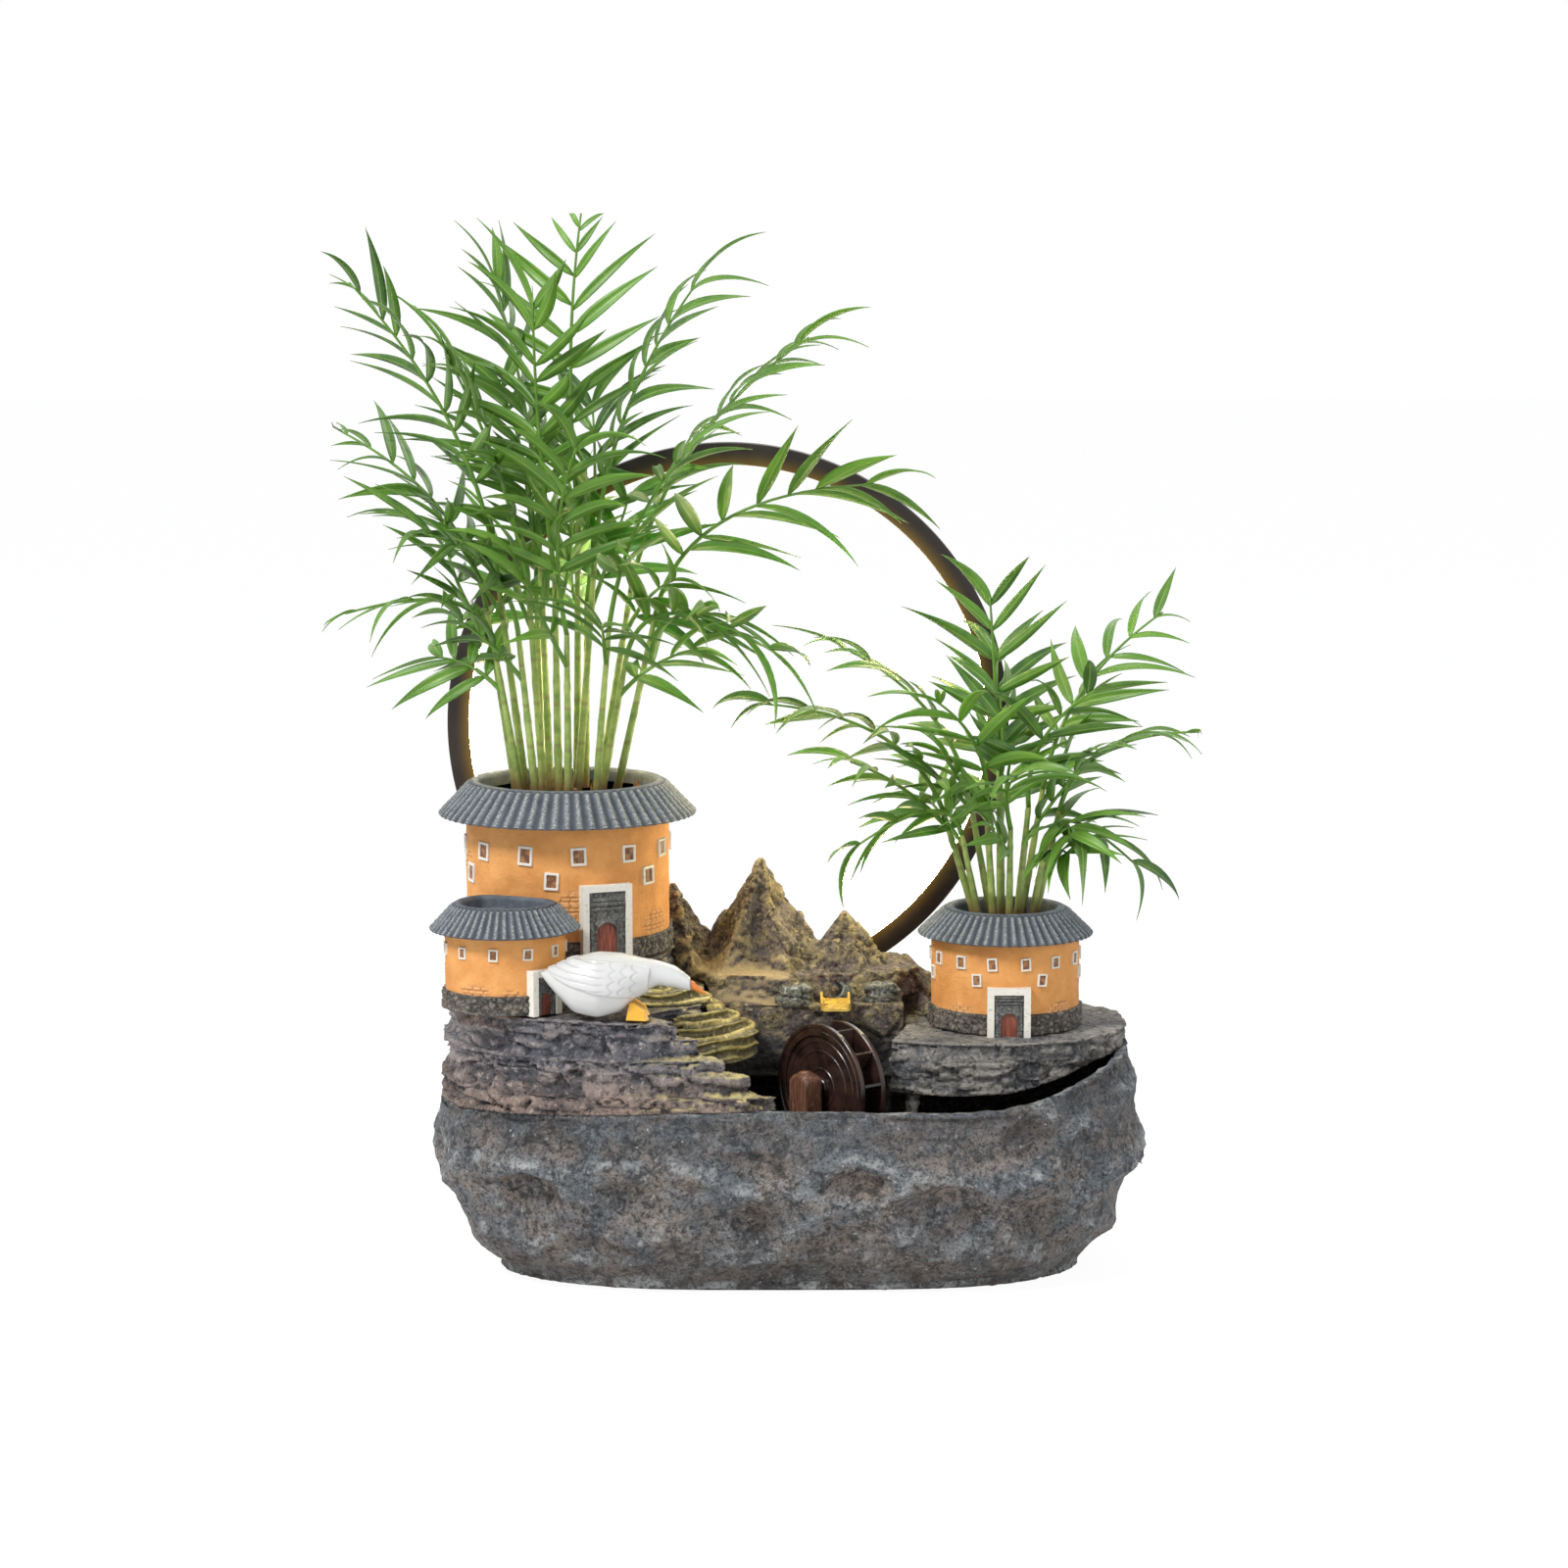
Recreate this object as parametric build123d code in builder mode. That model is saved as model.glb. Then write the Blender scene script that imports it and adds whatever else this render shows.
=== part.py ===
from build123d import *
import math
import os

os.makedirs("parts", exist_ok=True)

# Fits and cuts shared by the whole fountain
full_turn = 360.0
overrun = 12.0
slot_clearance = 0.3
running_clearance = 0.05
free_clearance = 0.5
flat_tolerance = 0.000001

# Pad under the basin
pad_thickness = 2.0
pad_inset = 8.0

# Basin, a hollow cast boulder
belly_half_width = 195.0
belly_half_depth = 109.0
basin_crest = 128.0
basin_wall = 9.0
basin_floor = 8.0
lip_height = 99.0
rim_rise = 22.0
boulder_side_count = 36
boulder_corner_power = 3.0
boulder_wave_count = 7
boulder_wave_turn = 1.0
dent_depth = 5.0

# Cable gland in the back wall
gland_x = 120.0
gland_height = 86.0
gland_seat_y = 91.0
gland_hole_radius = 5.0
gland_flange_radius = 8.0
gland_flange_thickness = 2.5
gland_bore_radius = 3.0
gland_tail = 6.0

# Layered cliff on the left
cliff_top = 148.0
cliff_layer_count = 5
house_step_radius = 63.0
house_step_angle = 10.0

# Terraced knoll
terrace_x = -66.0
terrace_y = -28.0
terrace_base = 118.0
terrace_first_top = 133.0
terrace_rise = 5.5
terrace_half_width = 50.0
terrace_half_depth = 46.0
terrace_setback = 6.0
terrace_drift = 2.0
terrace_count = 6
terrace_side_count = 40

# Ridge with the peaks
ridge_left = -46.0
ridge_right = 62.0
ridge_front = -6.0
ridge_back = 97.0
bank_front = 8.0
bank_height = 14.0
peak_sink = 3.0
main_peak_x = -15.6
main_peak_y = 46.0
main_peak_top = 212.5
main_peak_radius = 50.0
east_peak_x = 30.6
east_peak_y = 40.0
east_peak_top = 184.0
east_peak_radius = 38.0
west_peak_x = -64.0
west_peak_y = 56.0
west_peak_top = 197.0
west_peak_radius = 40.0
low_peak_x = 64.0
low_peak_y = 52.0
low_peak_top = 158.0
low_peak_radius = 34.0

# Ledge on the right
ledge_top = 128.0
ledge_layer = 13.0
pillar_x = 66.0
pillar_y = -39.0
pillar_radius = 6.0

# Round houses: place, wall, eave and rim
house_side_count = 48
plinth_height = 11.0
plinth_reach = 2.4
pot_wall = 6.0
pot_floor = 8.0
soil_drop = 12.5
eave_land = 3.0
roof_thickness = 4.5
roof_rim_width = 5.5

big_house_x = -119.8
big_house_y = 16.0
big_house_base = 168.0
big_house_wall_radius = 54.8
big_house_eave_radius = 69.5
big_house_rim_radius = 53.0
big_house_eave = 241.5
big_house_rim = 259.0
big_house_tile_count = 64
big_house_window_count = 12
big_house_window_width = 8.5
big_house_window_height = 10.0
big_house_door_width = 28.0
big_house_door_height = 42.0
big_house_door_angle = 24.0
big_upper_window_angle = 9.0
big_lower_window_angle = -6.0

left_house_x = -149.4
left_house_y = -52.0
left_house_base = cliff_top
left_house_wall_radius = 31.6
left_house_eave_radius = 39.5
left_house_rim_radius = 27.2
left_house_eave = 189.5
left_house_rim = 203.0
left_house_tile_count = 52
left_house_window_count = 11
left_house_window_width = 5.2
left_house_window_height = 6.2
left_house_door_width = 19.0
left_house_door_height = 24.0
left_house_door_angle = 42.0
left_window_angle = -7.3
left_house_dish_depth = 8.0

right_house_x = 117.0
right_house_y = 5.0
right_house_base = ledge_top
right_house_wall_radius = 39.9
right_house_eave_radius = 47.2
right_house_rim_radius = 33.0
right_house_eave = 177.5
right_house_rim = 191.5
right_house_tile_count = 56
right_house_window_count = 14
right_house_window_width = 5.8
right_house_window_height = 7.0
right_house_door_width = 23.0
right_house_door_height = 26.5
right_house_door_angle = 0.0
right_upper_window_angle = 12.9
right_lower_window_angle = 26.5

window_border = 1.4
window_proud = 1.1
window_depth = 1.2
door_border = 3.6
door_root = 3.0
door_proud = 4.0
surround_proud = 3.0
leaf_proud = 2.0

# Water wheel, its posts and axle
wheel_x = 22.5
wheel_y = -44.5
wheel_height = 103.0
wheel_radius = 34.5
wheel_width = 17.0
wheel_turn_angle = 50.0
wheel_disc = 1.5
wheel_rim_width = 6.5
wheel_rim_step = 1.3
wheel_hub_radius = 6.0
wheel_hub_step = 2.0
drum_radius = 21.0
bucket_count = 12
bucket_thickness = 1.4
bucket_lean_angle = 25.0
axle_radius = 1.6
bush_radius = 3.2
bush_flange = 1.0
post_width = 14.0
post_depth = 12.0
post_gap = 3.4
post_rise = 11.0
post_cap_radius = 3.5

# Spout above the wheel
spout_gap = 2.5
spout_x = 25.0
spout_tip_y = -28.0
spout_root_y = 5.0
spout_width = 16.6
spout_wall = 1.8
spout_side = 5.0
stone_height = 7.0

# Pump on the basin floor
pump_x = 52.0
pump_front = 12.0
pump_width = 44.0
pump_depth = 38.0
pump_height = 34.0
pump_corner = 4.0
pump_cover_depth = 8.0
cup_radius = 6.0
cup_neck_radius = 3.0
cup_height = 4.0
cup_inset = 8.0
cup_side_count = 16
volute_radius = 13.0
volute_depth = 11.0
magnet_radius = 7.0
magnet_length = 20.0
vane_radius = 11.5
vane_length = 8.0
vane_thickness = 1.6
vane_count = 6
shaft_radius = 1.0
nozzle_setback = 20.0
nozzle_radius = 3.6
nozzle_bore_radius = 2.5
nozzle_length = 12.0
shaft_seat = 2.5
shaft_nose = 3.0
slot_width = 2.4
slot_count_per_side = 2
slot_pitch = 4.6
slot_length = 22.0
slot_angle = 90.0
dial_radius = 8.0
dial_thickness = 2.6
dial_pin_radius = 1.6
dial_pin_length = 4.0
dial_gap = 0.3
dial_grip_width = 2.4
dial_grip_height = 1.6
grille_web = 2.6

# Riser hose
hose_radius = 5.0
hose_elbow_height = 128.0
hose_end_x = 26.5
hose_end_y = 9.0
hose_end_height = 145.0
hose_bend_share = 0.45
hose_side_count = 16

# Lamp ring
ring_x = -33.8
ring_y = 84.0
ring_height = 282.0
ring_radius = 155.8
ring_band = 12.0
ring_width = 12.0
ring_groove_width = 8.6
ring_groove_depth = 5.0
diffuser_thickness = 1.4
strip_thickness = 1.0

# Goose figure
goose_y = -84.0
goose_tail_x = -129.0
goose_length = 78.0
goose_base = cliff_top
goose_rise = 19.0
goose_girth = 17.5
goose_foot_x = -79.0
goose_foot_length = 11.0
goose_foot_width = 11.0
goose_foot_height = 12.0
goose_foot_pitch = 13.0
goose_side_count = 16
beak_length = 8.0
beak_drop = 5.0
beak_radius = 2.6

# Potted palms
leaf_thickness = 0.9
leaf_width = 8.5
cane_radius = 2.3
cane_side_count = 6
stalk_width = 2.0
big_palm_root_radius = 27.0
big_palm_height = 316.0
big_palm_reach = 167.0
big_leaf_length = 60.0
small_palm_root_radius = 15.0
small_palm_height = 181.0
small_palm_reach = 132.0
small_leaf_length = 48.0


# Outline helpers

def boulder_point(turn, half_width, half_depth):
    """Point of the boulder's outline, a rounded rectangle with shallow waves."""
    cosine = math.cos(turn)
    sine = math.sin(turn)
    wave = 1 - boulder_wave_share * (1 - math.cos(boulder_wave_count * turn + boulder_wave_turn))
    reach_x = math.copysign(abs(cosine) ** (2 / boulder_corner_power), cosine)
    reach_y = math.copysign(abs(sine) ** (2 / boulder_corner_power), sine)
    return half_width * wave * reach_x, half_depth * wave * reach_y


def boulder_outline(half_width, half_depth):
    return [boulder_point(2 * math.pi * side / boulder_side_count, half_width, half_depth)
            for side in range(boulder_side_count)]


def at_height(points, height):
    """Level outline in space."""
    return [Vector(x, y, height) for x, y in points]


def facet_loft(outlines):
    """Solid with flat facets between outlines that have as many points each."""
    faces = [Face(Wire.make_polygon(outline, close=True)) for outline in (outlines[0], outlines[-1])]
    for lower, upper in zip(outlines, outlines[1:]):
        for side in range(len(lower)):
            corners = [lower[side - 1], lower[side], upper[side], upper[side - 1]]
            along = corners[1] - corners[0]
            rise = corners[3] - corners[0]
            twist = abs(along.cross(rise).normalized().dot(corners[2] - corners[0]))
            halves = [corners] if twist < flat_tolerance else [corners[:3], corners[2:] + corners[:1]]
            faces += [Face(Wire.make_polygon(half, close=True)) for half in halves]
    return Solid(Shell(faces))


def spread(shares, x_size, y_size, x=0, y=0, scale=1):
    """Outline points from shares of two sizes, about a place."""
    return [(x + x_size * a * scale, y + y_size * b * scale) for a, b in shares]


def rim_points():
    """Line of the basin's rim, seen from the front."""
    return [(a * belly_half_width, lip_height + b * rim_rise) for a, b in rim_line_shares]


def rim_region(level):
    """Sketch of the area between the rim line and a level."""
    with BuildSketch(Plane.XZ) as region:
        with BuildLine():
            rim = Spline(*rim_points())
            Polyline(rim @ 1, ((rim @ 1).X, level), ((rim @ 0).X, level), rim @ 0)
        make_face()
    return region.sketch


def oval(half_width, half_height, side_count, x=0, y=0):
    """Many-sided oval outline."""
    turns = [2 * math.pi * side / side_count for side in range(side_count)]
    return [(x + half_width * math.cos(turn), y + half_height * math.sin(turn)) for turn in turns]


def level_plane(x, y, z):
    return Plane(origin=(x, y, z))


boulder_wave_share = 0.007

# Height, half width and half depth of the boulder, outside and inside
basin_section_shares = [
    (0.0, 0.81, 0.77),
    (0.14, 0.905, 0.89),
    (0.5, 1.0, 1.0),
    (0.79, 0.97, 0.945),
    (1.0, 0.93, 0.90),
]
cavity_section_shares = [
    (0.0, 0.80, 0.77),
    (0.10, 0.885, 0.87),
    (0.47, 0.995, 0.995),
    (0.77, 0.965, 0.94),
    (1.0, 0.925, 0.89),
]
rim_line_shares = [
    (-1.12, -0.25),
    (-0.40, 0.0),
    (0.20, 0.05),
    (0.45, 0.0),
    (0.65, 0.15),
    (0.80, 0.55),
    (0.93, 0.93),
    (1.12, 1.20),
]

# Pad
with BuildPart() as base_pad:
    with BuildSketch(Plane.XY):
        with BuildLine():
            Polyline(*boulder_outline(
                belly_half_width * basin_section_shares[0][1] - pad_inset,
                belly_half_depth * basin_section_shares[0][2] - pad_inset), close=True)
        make_face()
    extrude(amount=pad_thickness)
base_pad.part.label = "base_pad"
export_step(base_pad.part, "parts/base_pad.step")

# Basin: the outer boulder, the pond hollow, the rim line and the gland hole
cavity_floor = pad_thickness + basin_floor

dent_side_count = 8
dent_scale_shares = [1.4, 0.6]

# Main dents of the boulder: turn about it from the right by the back, then height, half width
# and half height as shares of the crest's height
dent_shares = [
    (0.662, 0.62, 0.20, 0.10),
    (0.640, 0.36, 0.14, 0.125),
    (0.704, 0.38, 0.165, 0.133),
    (0.7455, 0.24, 0.10, 0.133),
    (0.7455, 0.56, 0.17, 0.08),
    (0.798, 0.31, 0.22, 0.14),
    (0.762, 0.46, 0.19, 0.086),
    (0.857, 0.27, 0.133, 0.11),
    (0.883, 0.55, 0.156, 0.16),
    (0.6825, 0.15, 0.20, 0.08),
    (0.839, 0.66, 0.117, 0.07),
    (0.970, 0.34, 0.14, 0.12),
    (0.040, 0.52, 0.16, 0.13),
    (0.540, 0.52, 0.15, 0.13),
    (0.470, 0.34, 0.16, 0.12),
    (0.120, 0.45, 0.17, 0.12),
    (0.190, 0.32, 0.18, 0.12),
    (0.245, 0.60, 0.20, 0.11),
    (0.300, 0.33, 0.19, 0.13),
    (0.345, 0.63, 0.17, 0.10),
    (0.400, 0.36, 0.16, 0.13),
]


def boulder_sections(section_shares, foot, half_width, half_depth):
    """Level outlines of the boulder from its foot to its crest."""
    return [at_height(boulder_outline(half_width * width_share, half_depth * depth_share),
                      foot + height_share * (basin_crest - foot))
            for height_share, width_share, depth_share in section_shares]


def girth_shares(height):
    """Width and depth shares of the boulder's skin at a height."""
    level = (height - pad_thickness) / (basin_crest - pad_thickness)
    for lower, upper in zip(basin_section_shares, basin_section_shares[1:]):
        if lower[0] <= level <= upper[0]:
            part = (level - lower[0]) / (upper[0] - lower[0])
            return [low + part * (high - low) for low, high in zip(lower[1:], upper[1:])]


def build_dent(turn_share, height_share, half_width_share, half_height_share):
    """Cutter of a shallow dent: its mouth outside the skin is wider than its floor."""
    height = height_share * basin_crest
    width_share, depth_share = girth_shares(height)
    before, place, after = [
        Vector(*boulder_point(2 * math.pi * (turn_share + side / boulder_side_count),
                              belly_half_width * width_share, belly_half_depth * depth_share), height)
        for side in (-1, 0, 1)]
    along = (after - before).normalized()
    dent_plane = Plane(origin=place, x_dir=along, z_dir=along.cross(Vector(0, 0, 1)))
    outlines = []
    for scale_share, reach in zip(dent_scale_shares, (dent_depth, -dent_depth)):
        mouth = oval(half_width_share * basin_crest * scale_share,
                     half_height_share * basin_crest * scale_share, dent_side_count)
        outlines.append([dent_plane.from_local_coords(Vector(a, b, reach)) for a, b in mouth])
    return facet_loft(outlines)


with BuildPart() as basin:
    add(facet_loft(boulder_sections(basin_section_shares, pad_thickness,
                                    belly_half_width, belly_half_depth)))
    add(facet_loft(boulder_sections(cavity_section_shares, cavity_floor,
                                    belly_half_width - basin_wall, belly_half_depth - basin_wall)),
        mode=Mode.SUBTRACT)
    for dent in dent_shares:
        add(build_dent(*dent), mode=Mode.SUBTRACT)
    with BuildSketch(Plane.XZ):
        add(rim_region(basin_crest + overrun))
    extrude(amount=belly_half_depth + overrun, both=True, mode=Mode.SUBTRACT)
    with BuildSketch(Plane.XZ.offset(-gland_seat_y)):
        with Locations((gland_x, gland_height)):
            Circle(gland_flange_radius + slot_clearance)
    extrude(amount=-(belly_half_depth + overrun - gland_seat_y), mode=Mode.SUBTRACT)
    with BuildSketch(Plane.XZ.offset(-gland_seat_y)):
        with Locations((gland_x, gland_height)):
            Circle(gland_hole_radius)
    extrude(amount=basin_wall + overrun, mode=Mode.SUBTRACT)
basin.part.label = "basin"
export_step(basin.part, "parts/basin.step")

# Cable grommet, seated in the back wall
with BuildPart() as cable_grommet:
    with BuildSketch(Plane.XZ.offset(-gland_seat_y)):
        with Locations((gland_x, gland_height)):
            Circle(gland_flange_radius)
            Circle(gland_bore_radius, mode=Mode.SUBTRACT)
    extrude(amount=-gland_flange_thickness)
    with BuildSketch(Plane.XZ.offset(-gland_seat_y)):
        with Locations((gland_x, gland_height)):
            Circle(gland_hole_radius)
            Circle(gland_bore_radius, mode=Mode.SUBTRACT)
    extrude(amount=gland_tail)
cable_grommet.part.label = "cable_grommet"
export_step(cable_grommet.part, "parts/cable_grommet.step")


# Lamp ring: its plane, its slot in the rock and its three pieces
ring_plane = Plane(origin=(ring_x, ring_y, ring_height), x_dir=(1, 0, 0), z_dir=(0, 0, 1))
ring_axis = Axis((ring_x, ring_y, ring_height), (0, 1, 0))
ring_inner_radius = ring_radius - ring_band
groove_floor_radius = ring_inner_radius + ring_groove_depth


def ring_of(inner, outer, width):
    """Full ring of rectangular section about the ring's own axis."""
    with BuildPart() as turned:
        with BuildSketch(ring_plane):
            with Locations(((inner + outer) / 2, 0)):
                Rectangle(outer - inner, width)
        revolve(axis=ring_axis)
    return turned.part


ring_slot = ring_of(ring_inner_radius - slot_clearance, ring_radius + slot_clearance,
                    ring_width + 2 * slot_clearance)

with BuildPart() as ring_channel:
    add(ring_of(ring_inner_radius, ring_radius, ring_width))
    add(ring_of(ring_inner_radius - overrun, groove_floor_radius, ring_groove_width),
        mode=Mode.SUBTRACT)
ring_channel.part.label = "ring_channel"
export_step(ring_channel.part, "parts/ring_channel.step")

ring_diffuser = ring_of(ring_inner_radius, ring_inner_radius + diffuser_thickness,
                        ring_groove_width)
ring_diffuser.label = "ring_diffuser"
export_step(ring_diffuser, "parts/ring_diffuser.step")

ring_led_strip = ring_of(groove_floor_radius - strip_thickness, groove_floor_radius,
                         ring_groove_width)
ring_led_strip.label = "ring_led_strip"
export_step(ring_led_strip, "parts/ring_led_strip.step")


# Round houses
def house(name, x, y, base, wall_radius, eave_radius, rim_radius, eave, rim, tile_count):
    return dict(name=name, x=x, y=y, base=base, wall_radius=wall_radius, eave_radius=eave_radius,
                rim_radius=rim_radius, eave=eave, rim=rim, tile_count=tile_count)


big_house = house("big_house", big_house_x, big_house_y, big_house_base, big_house_wall_radius,
                  big_house_eave_radius, big_house_rim_radius, big_house_eave, big_house_rim,
                  big_house_tile_count)
left_house = house("left_house", left_house_x, left_house_y, left_house_base,
                   left_house_wall_radius, left_house_eave_radius, left_house_rim_radius,
                   left_house_eave, left_house_rim, left_house_tile_count)
right_house = house("right_house", right_house_x, right_house_y, right_house_base,
                    right_house_wall_radius, right_house_eave_radius, right_house_rim_radius,
                    right_house_eave, right_house_rim, right_house_tile_count)

# Rib height as a share of the radius, then turn share along one tile and height share of its rib
tile_rib_share = 0.034
tile_shape_shares = [(0.0, 0.0), (0.5, 0.0), (0.75, 1.0)]


def round_slab(x, y, radius, low, high):
    """Upright many-sided drum between two heights."""
    with BuildPart() as drum:
        with BuildSketch(level_plane(x, y, low)):
            RegularPolygon(radius, house_side_count)
        extrude(amount=high - low)
    return drum.part


def round_taper(site, low_radius, low, high_radius, high):
    """Many-sided taper about a house's middle."""
    return facet_loft([at_height(oval(radius, radius, house_side_count, site["x"], site["y"]), height)
                       for radius, height in ((low_radius, low), (high_radius, high))])


def seat_height(site):
    """Height where the roof's underside meets the wall."""
    slope = (site["rim"] - site["eave"]) / (site["eave_radius"] - site["rim_radius"])
    return site["eave"] + slope * (site["eave_radius"] - site["wall_radius"]) - roof_thickness


def facing_plane(site, angle, distance, height):
    """Upright plane tangent to a house; the angle is 0 at the front and grows to the right."""
    turn = math.radians(angle)
    outward = (math.sin(turn), -math.cos(turn), 0)
    origin = (site["x"] + distance * outward[0], site["y"] + distance * outward[1], height)
    return Plane(origin=origin, x_dir=(math.cos(turn), math.sin(turn), 0), z_dir=outward)


def build_wall(site, windows, window_width, window_height, door, hollow):
    """Earth wall on its stone plinth, with raised window frames and a pocket for the door."""
    door_angle, door_width, door_height = door
    x = site["x"]
    y = site["y"]
    radius = site["wall_radius"]
    top = seat_height(site)
    with BuildPart() as wall:
        add(round_slab(x, y, radius, site["base"], top))
        add(round_slab(x, y, radius + plinth_reach, site["base"], site["base"] + plinth_height))
        for angle, height in windows:
            with BuildSketch(facing_plane(site, angle, radius - window_depth, height)):
                Rectangle(window_width, window_height)
        extrude(amount=window_depth + window_proud)
        for angle, height in windows:
            with BuildSketch(facing_plane(site, angle, radius - window_depth, height)):
                Rectangle(window_width - 2 * window_border, window_height - 2 * window_border)
        extrude(amount=window_depth + window_proud + overrun, mode=Mode.SUBTRACT)
        with BuildSketch(facing_plane(site, door_angle, radius - door_root, site["base"])):
            with Locations((0, door_height / 2)):
                Rectangle(door_width, door_height)
        extrude(amount=door_root + overrun, mode=Mode.SUBTRACT)
        if hollow:
            add(round_slab(x, y, radius - pot_wall, site["base"] + pot_floor, top + overrun),
                mode=Mode.SUBTRACT)
    return wall.part


def tiled_outline(site, radius):
    """Outline of a ring of tile ribs."""
    points = []
    for tile in range(site["tile_count"]):
        for turn_share, rib_share in tile_shape_shares:
            turn = 2 * math.pi * (tile + turn_share) / site["tile_count"]
            reach = radius * (1 - tile_rib_share * (1 - rib_share))
            points.append((site["x"] + reach * math.cos(turn), site["y"] + reach * math.sin(turn)))
    return points


def build_roof(site):
    """Ring roof with radial tile ribs, undercut to a land that seats on the wall."""
    with BuildPart() as roof:
        add(facet_loft([at_height(tiled_outline(site, site["eave_radius"]), site["eave"]),
                        at_height(tiled_outline(site, site["rim_radius"]), site["rim"])]))
        add(round_taper(site, site["eave_radius"] - eave_land, site["eave"],
                        site["wall_radius"], seat_height(site)), mode=Mode.SUBTRACT)
    return roof.part


def window_row(count, first_angle, height):
    return [(first_angle + full_turn * index / count, height) for index in range(count)]


def save_door(site, door):
    """White frame, grey surround and arched leaf, set in the wall's pocket."""
    angle, width, height = door
    root = site["wall_radius"] - door_root
    leaf_width = (width - 2 * door_border) * leaf_width_share
    leaf_height = (height - door_border) * leaf_height_share
    plane = facing_plane(site, angle, root, site["base"])
    with BuildPart() as frame:
        with BuildSketch(plane):
            with Locations((0, height / 2)):
                Rectangle(width, height)
            with Locations((0, (height - door_border) / 2)):
                Rectangle(width - 2 * door_border, height - door_border, mode=Mode.SUBTRACT)
        extrude(amount=door_root + door_proud)
    with BuildPart() as leaf:
        with BuildSketch(plane):
            with Locations((0, (leaf_height - leaf_width / 2) / 2)):
                Rectangle(leaf_width, leaf_height - leaf_width / 2)
            with Locations((0, leaf_height - leaf_width / 2)):
                Circle(leaf_width / 2)
        extrude(amount=door_root + leaf_proud)
    with BuildPart() as surround:
        with BuildSketch(plane):
            with Locations((0, (height - door_border) / 2)):
                Rectangle(width - 2 * door_border, height - door_border)
            with Locations((0, (leaf_height - leaf_width / 2) / 2)):
                Rectangle(leaf_width, leaf_height - leaf_width / 2, mode=Mode.SUBTRACT)
            with Locations((0, leaf_height - leaf_width / 2)):
                Circle(leaf_width / 2, mode=Mode.SUBTRACT)
        extrude(amount=door_root + surround_proud)
    for part_name, solid in (("door_frame", frame.part), ("door_surround", surround.part),
                             ("door_leaf", leaf.part)):
        solid.label = site["name"] + "_" + part_name
        export_step(solid, "parts/" + solid.label + ".step")


leaf_width_share = 0.56
leaf_height_share = 0.56
upper_window_share = 0.78
lower_window_share = 0.60


def window_height_at(site, share):
    return site["base"] + share * (site["eave"] - site["base"])


# Big planter house
big_windows = (window_row(big_house_window_count, big_upper_window_angle,
                          window_height_at(big_house, upper_window_share))
               + window_row(big_house_window_count // 2, big_lower_window_angle,
                            window_height_at(big_house, lower_window_share)))
big_door = (big_house_door_angle, big_house_door_width, big_house_door_height)
big_house_wall = build_wall(big_house, big_windows, big_house_window_width,
                            big_house_window_height, big_door, True)
big_house_wall.label = "big_house_wall"
export_step(big_house_wall, "parts/big_house_wall.step")
save_door(big_house, big_door)

with BuildPart() as big_house_roof:
    add(build_roof(big_house))
    add(round_slab(big_house_x, big_house_y, big_house_rim_radius - roof_rim_width,
                   big_house_eave, big_house_rim + overrun), mode=Mode.SUBTRACT)
big_house_roof.part.label = "big_house_roof"
export_step(big_house_roof.part, "parts/big_house_roof.step")

# Small planter house on the right
right_windows = (window_row(right_house_window_count, right_upper_window_angle,
                            window_height_at(right_house, upper_window_share))
                 + window_row(right_house_window_count // 2, right_lower_window_angle,
                              window_height_at(right_house, lower_window_share)))
right_door = (right_house_door_angle, right_house_door_width, right_house_door_height)
right_house_wall = build_wall(right_house, right_windows, right_house_window_width,
                              right_house_window_height, right_door, True)
right_house_wall.label = "right_house_wall"
export_step(right_house_wall, "parts/right_house_wall.step")
save_door(right_house, right_door)

with BuildPart() as right_house_roof:
    add(build_roof(right_house))
    add(round_slab(right_house_x, right_house_y, right_house_rim_radius - roof_rim_width,
                   right_house_eave, right_house_rim + overrun), mode=Mode.SUBTRACT)
right_house_roof.part.label = "right_house_roof"
export_step(right_house_roof.part, "parts/right_house_roof.step")

# Left house, closed by a dished roof and let into the big house's wall
big_house_envelope = round_slab(big_house_x, big_house_y, big_house_wall_radius + plinth_reach,
                                big_house_base - overrun, big_house_eave)
left_windows = window_row(left_house_window_count, left_window_angle,
                          window_height_at(left_house, upper_window_share))
left_door = (left_house_door_angle, left_house_door_width, left_house_door_height)
with BuildPart() as left_house_wall:
    add(build_wall(left_house, left_windows, left_house_window_width, left_house_window_height,
                   left_door, False))
    add(big_house_envelope, mode=Mode.SUBTRACT)
left_house_wall.part.label = "left_house_wall"
export_step(left_house_wall.part, "parts/left_house_wall.step")
save_door(left_house, left_door)

with BuildPart() as left_house_roof:
    add(build_roof(left_house))
    add(round_taper(left_house, roof_rim_width, left_house_rim - left_house_dish_depth,
                    left_house_rim_radius - roof_rim_width, left_house_rim), mode=Mode.SUBTRACT)
    add(big_house_envelope, mode=Mode.SUBTRACT)
left_house_roof.part.label = "left_house_roof"
export_step(left_house_roof.part, "parts/left_house_roof.step")

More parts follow.
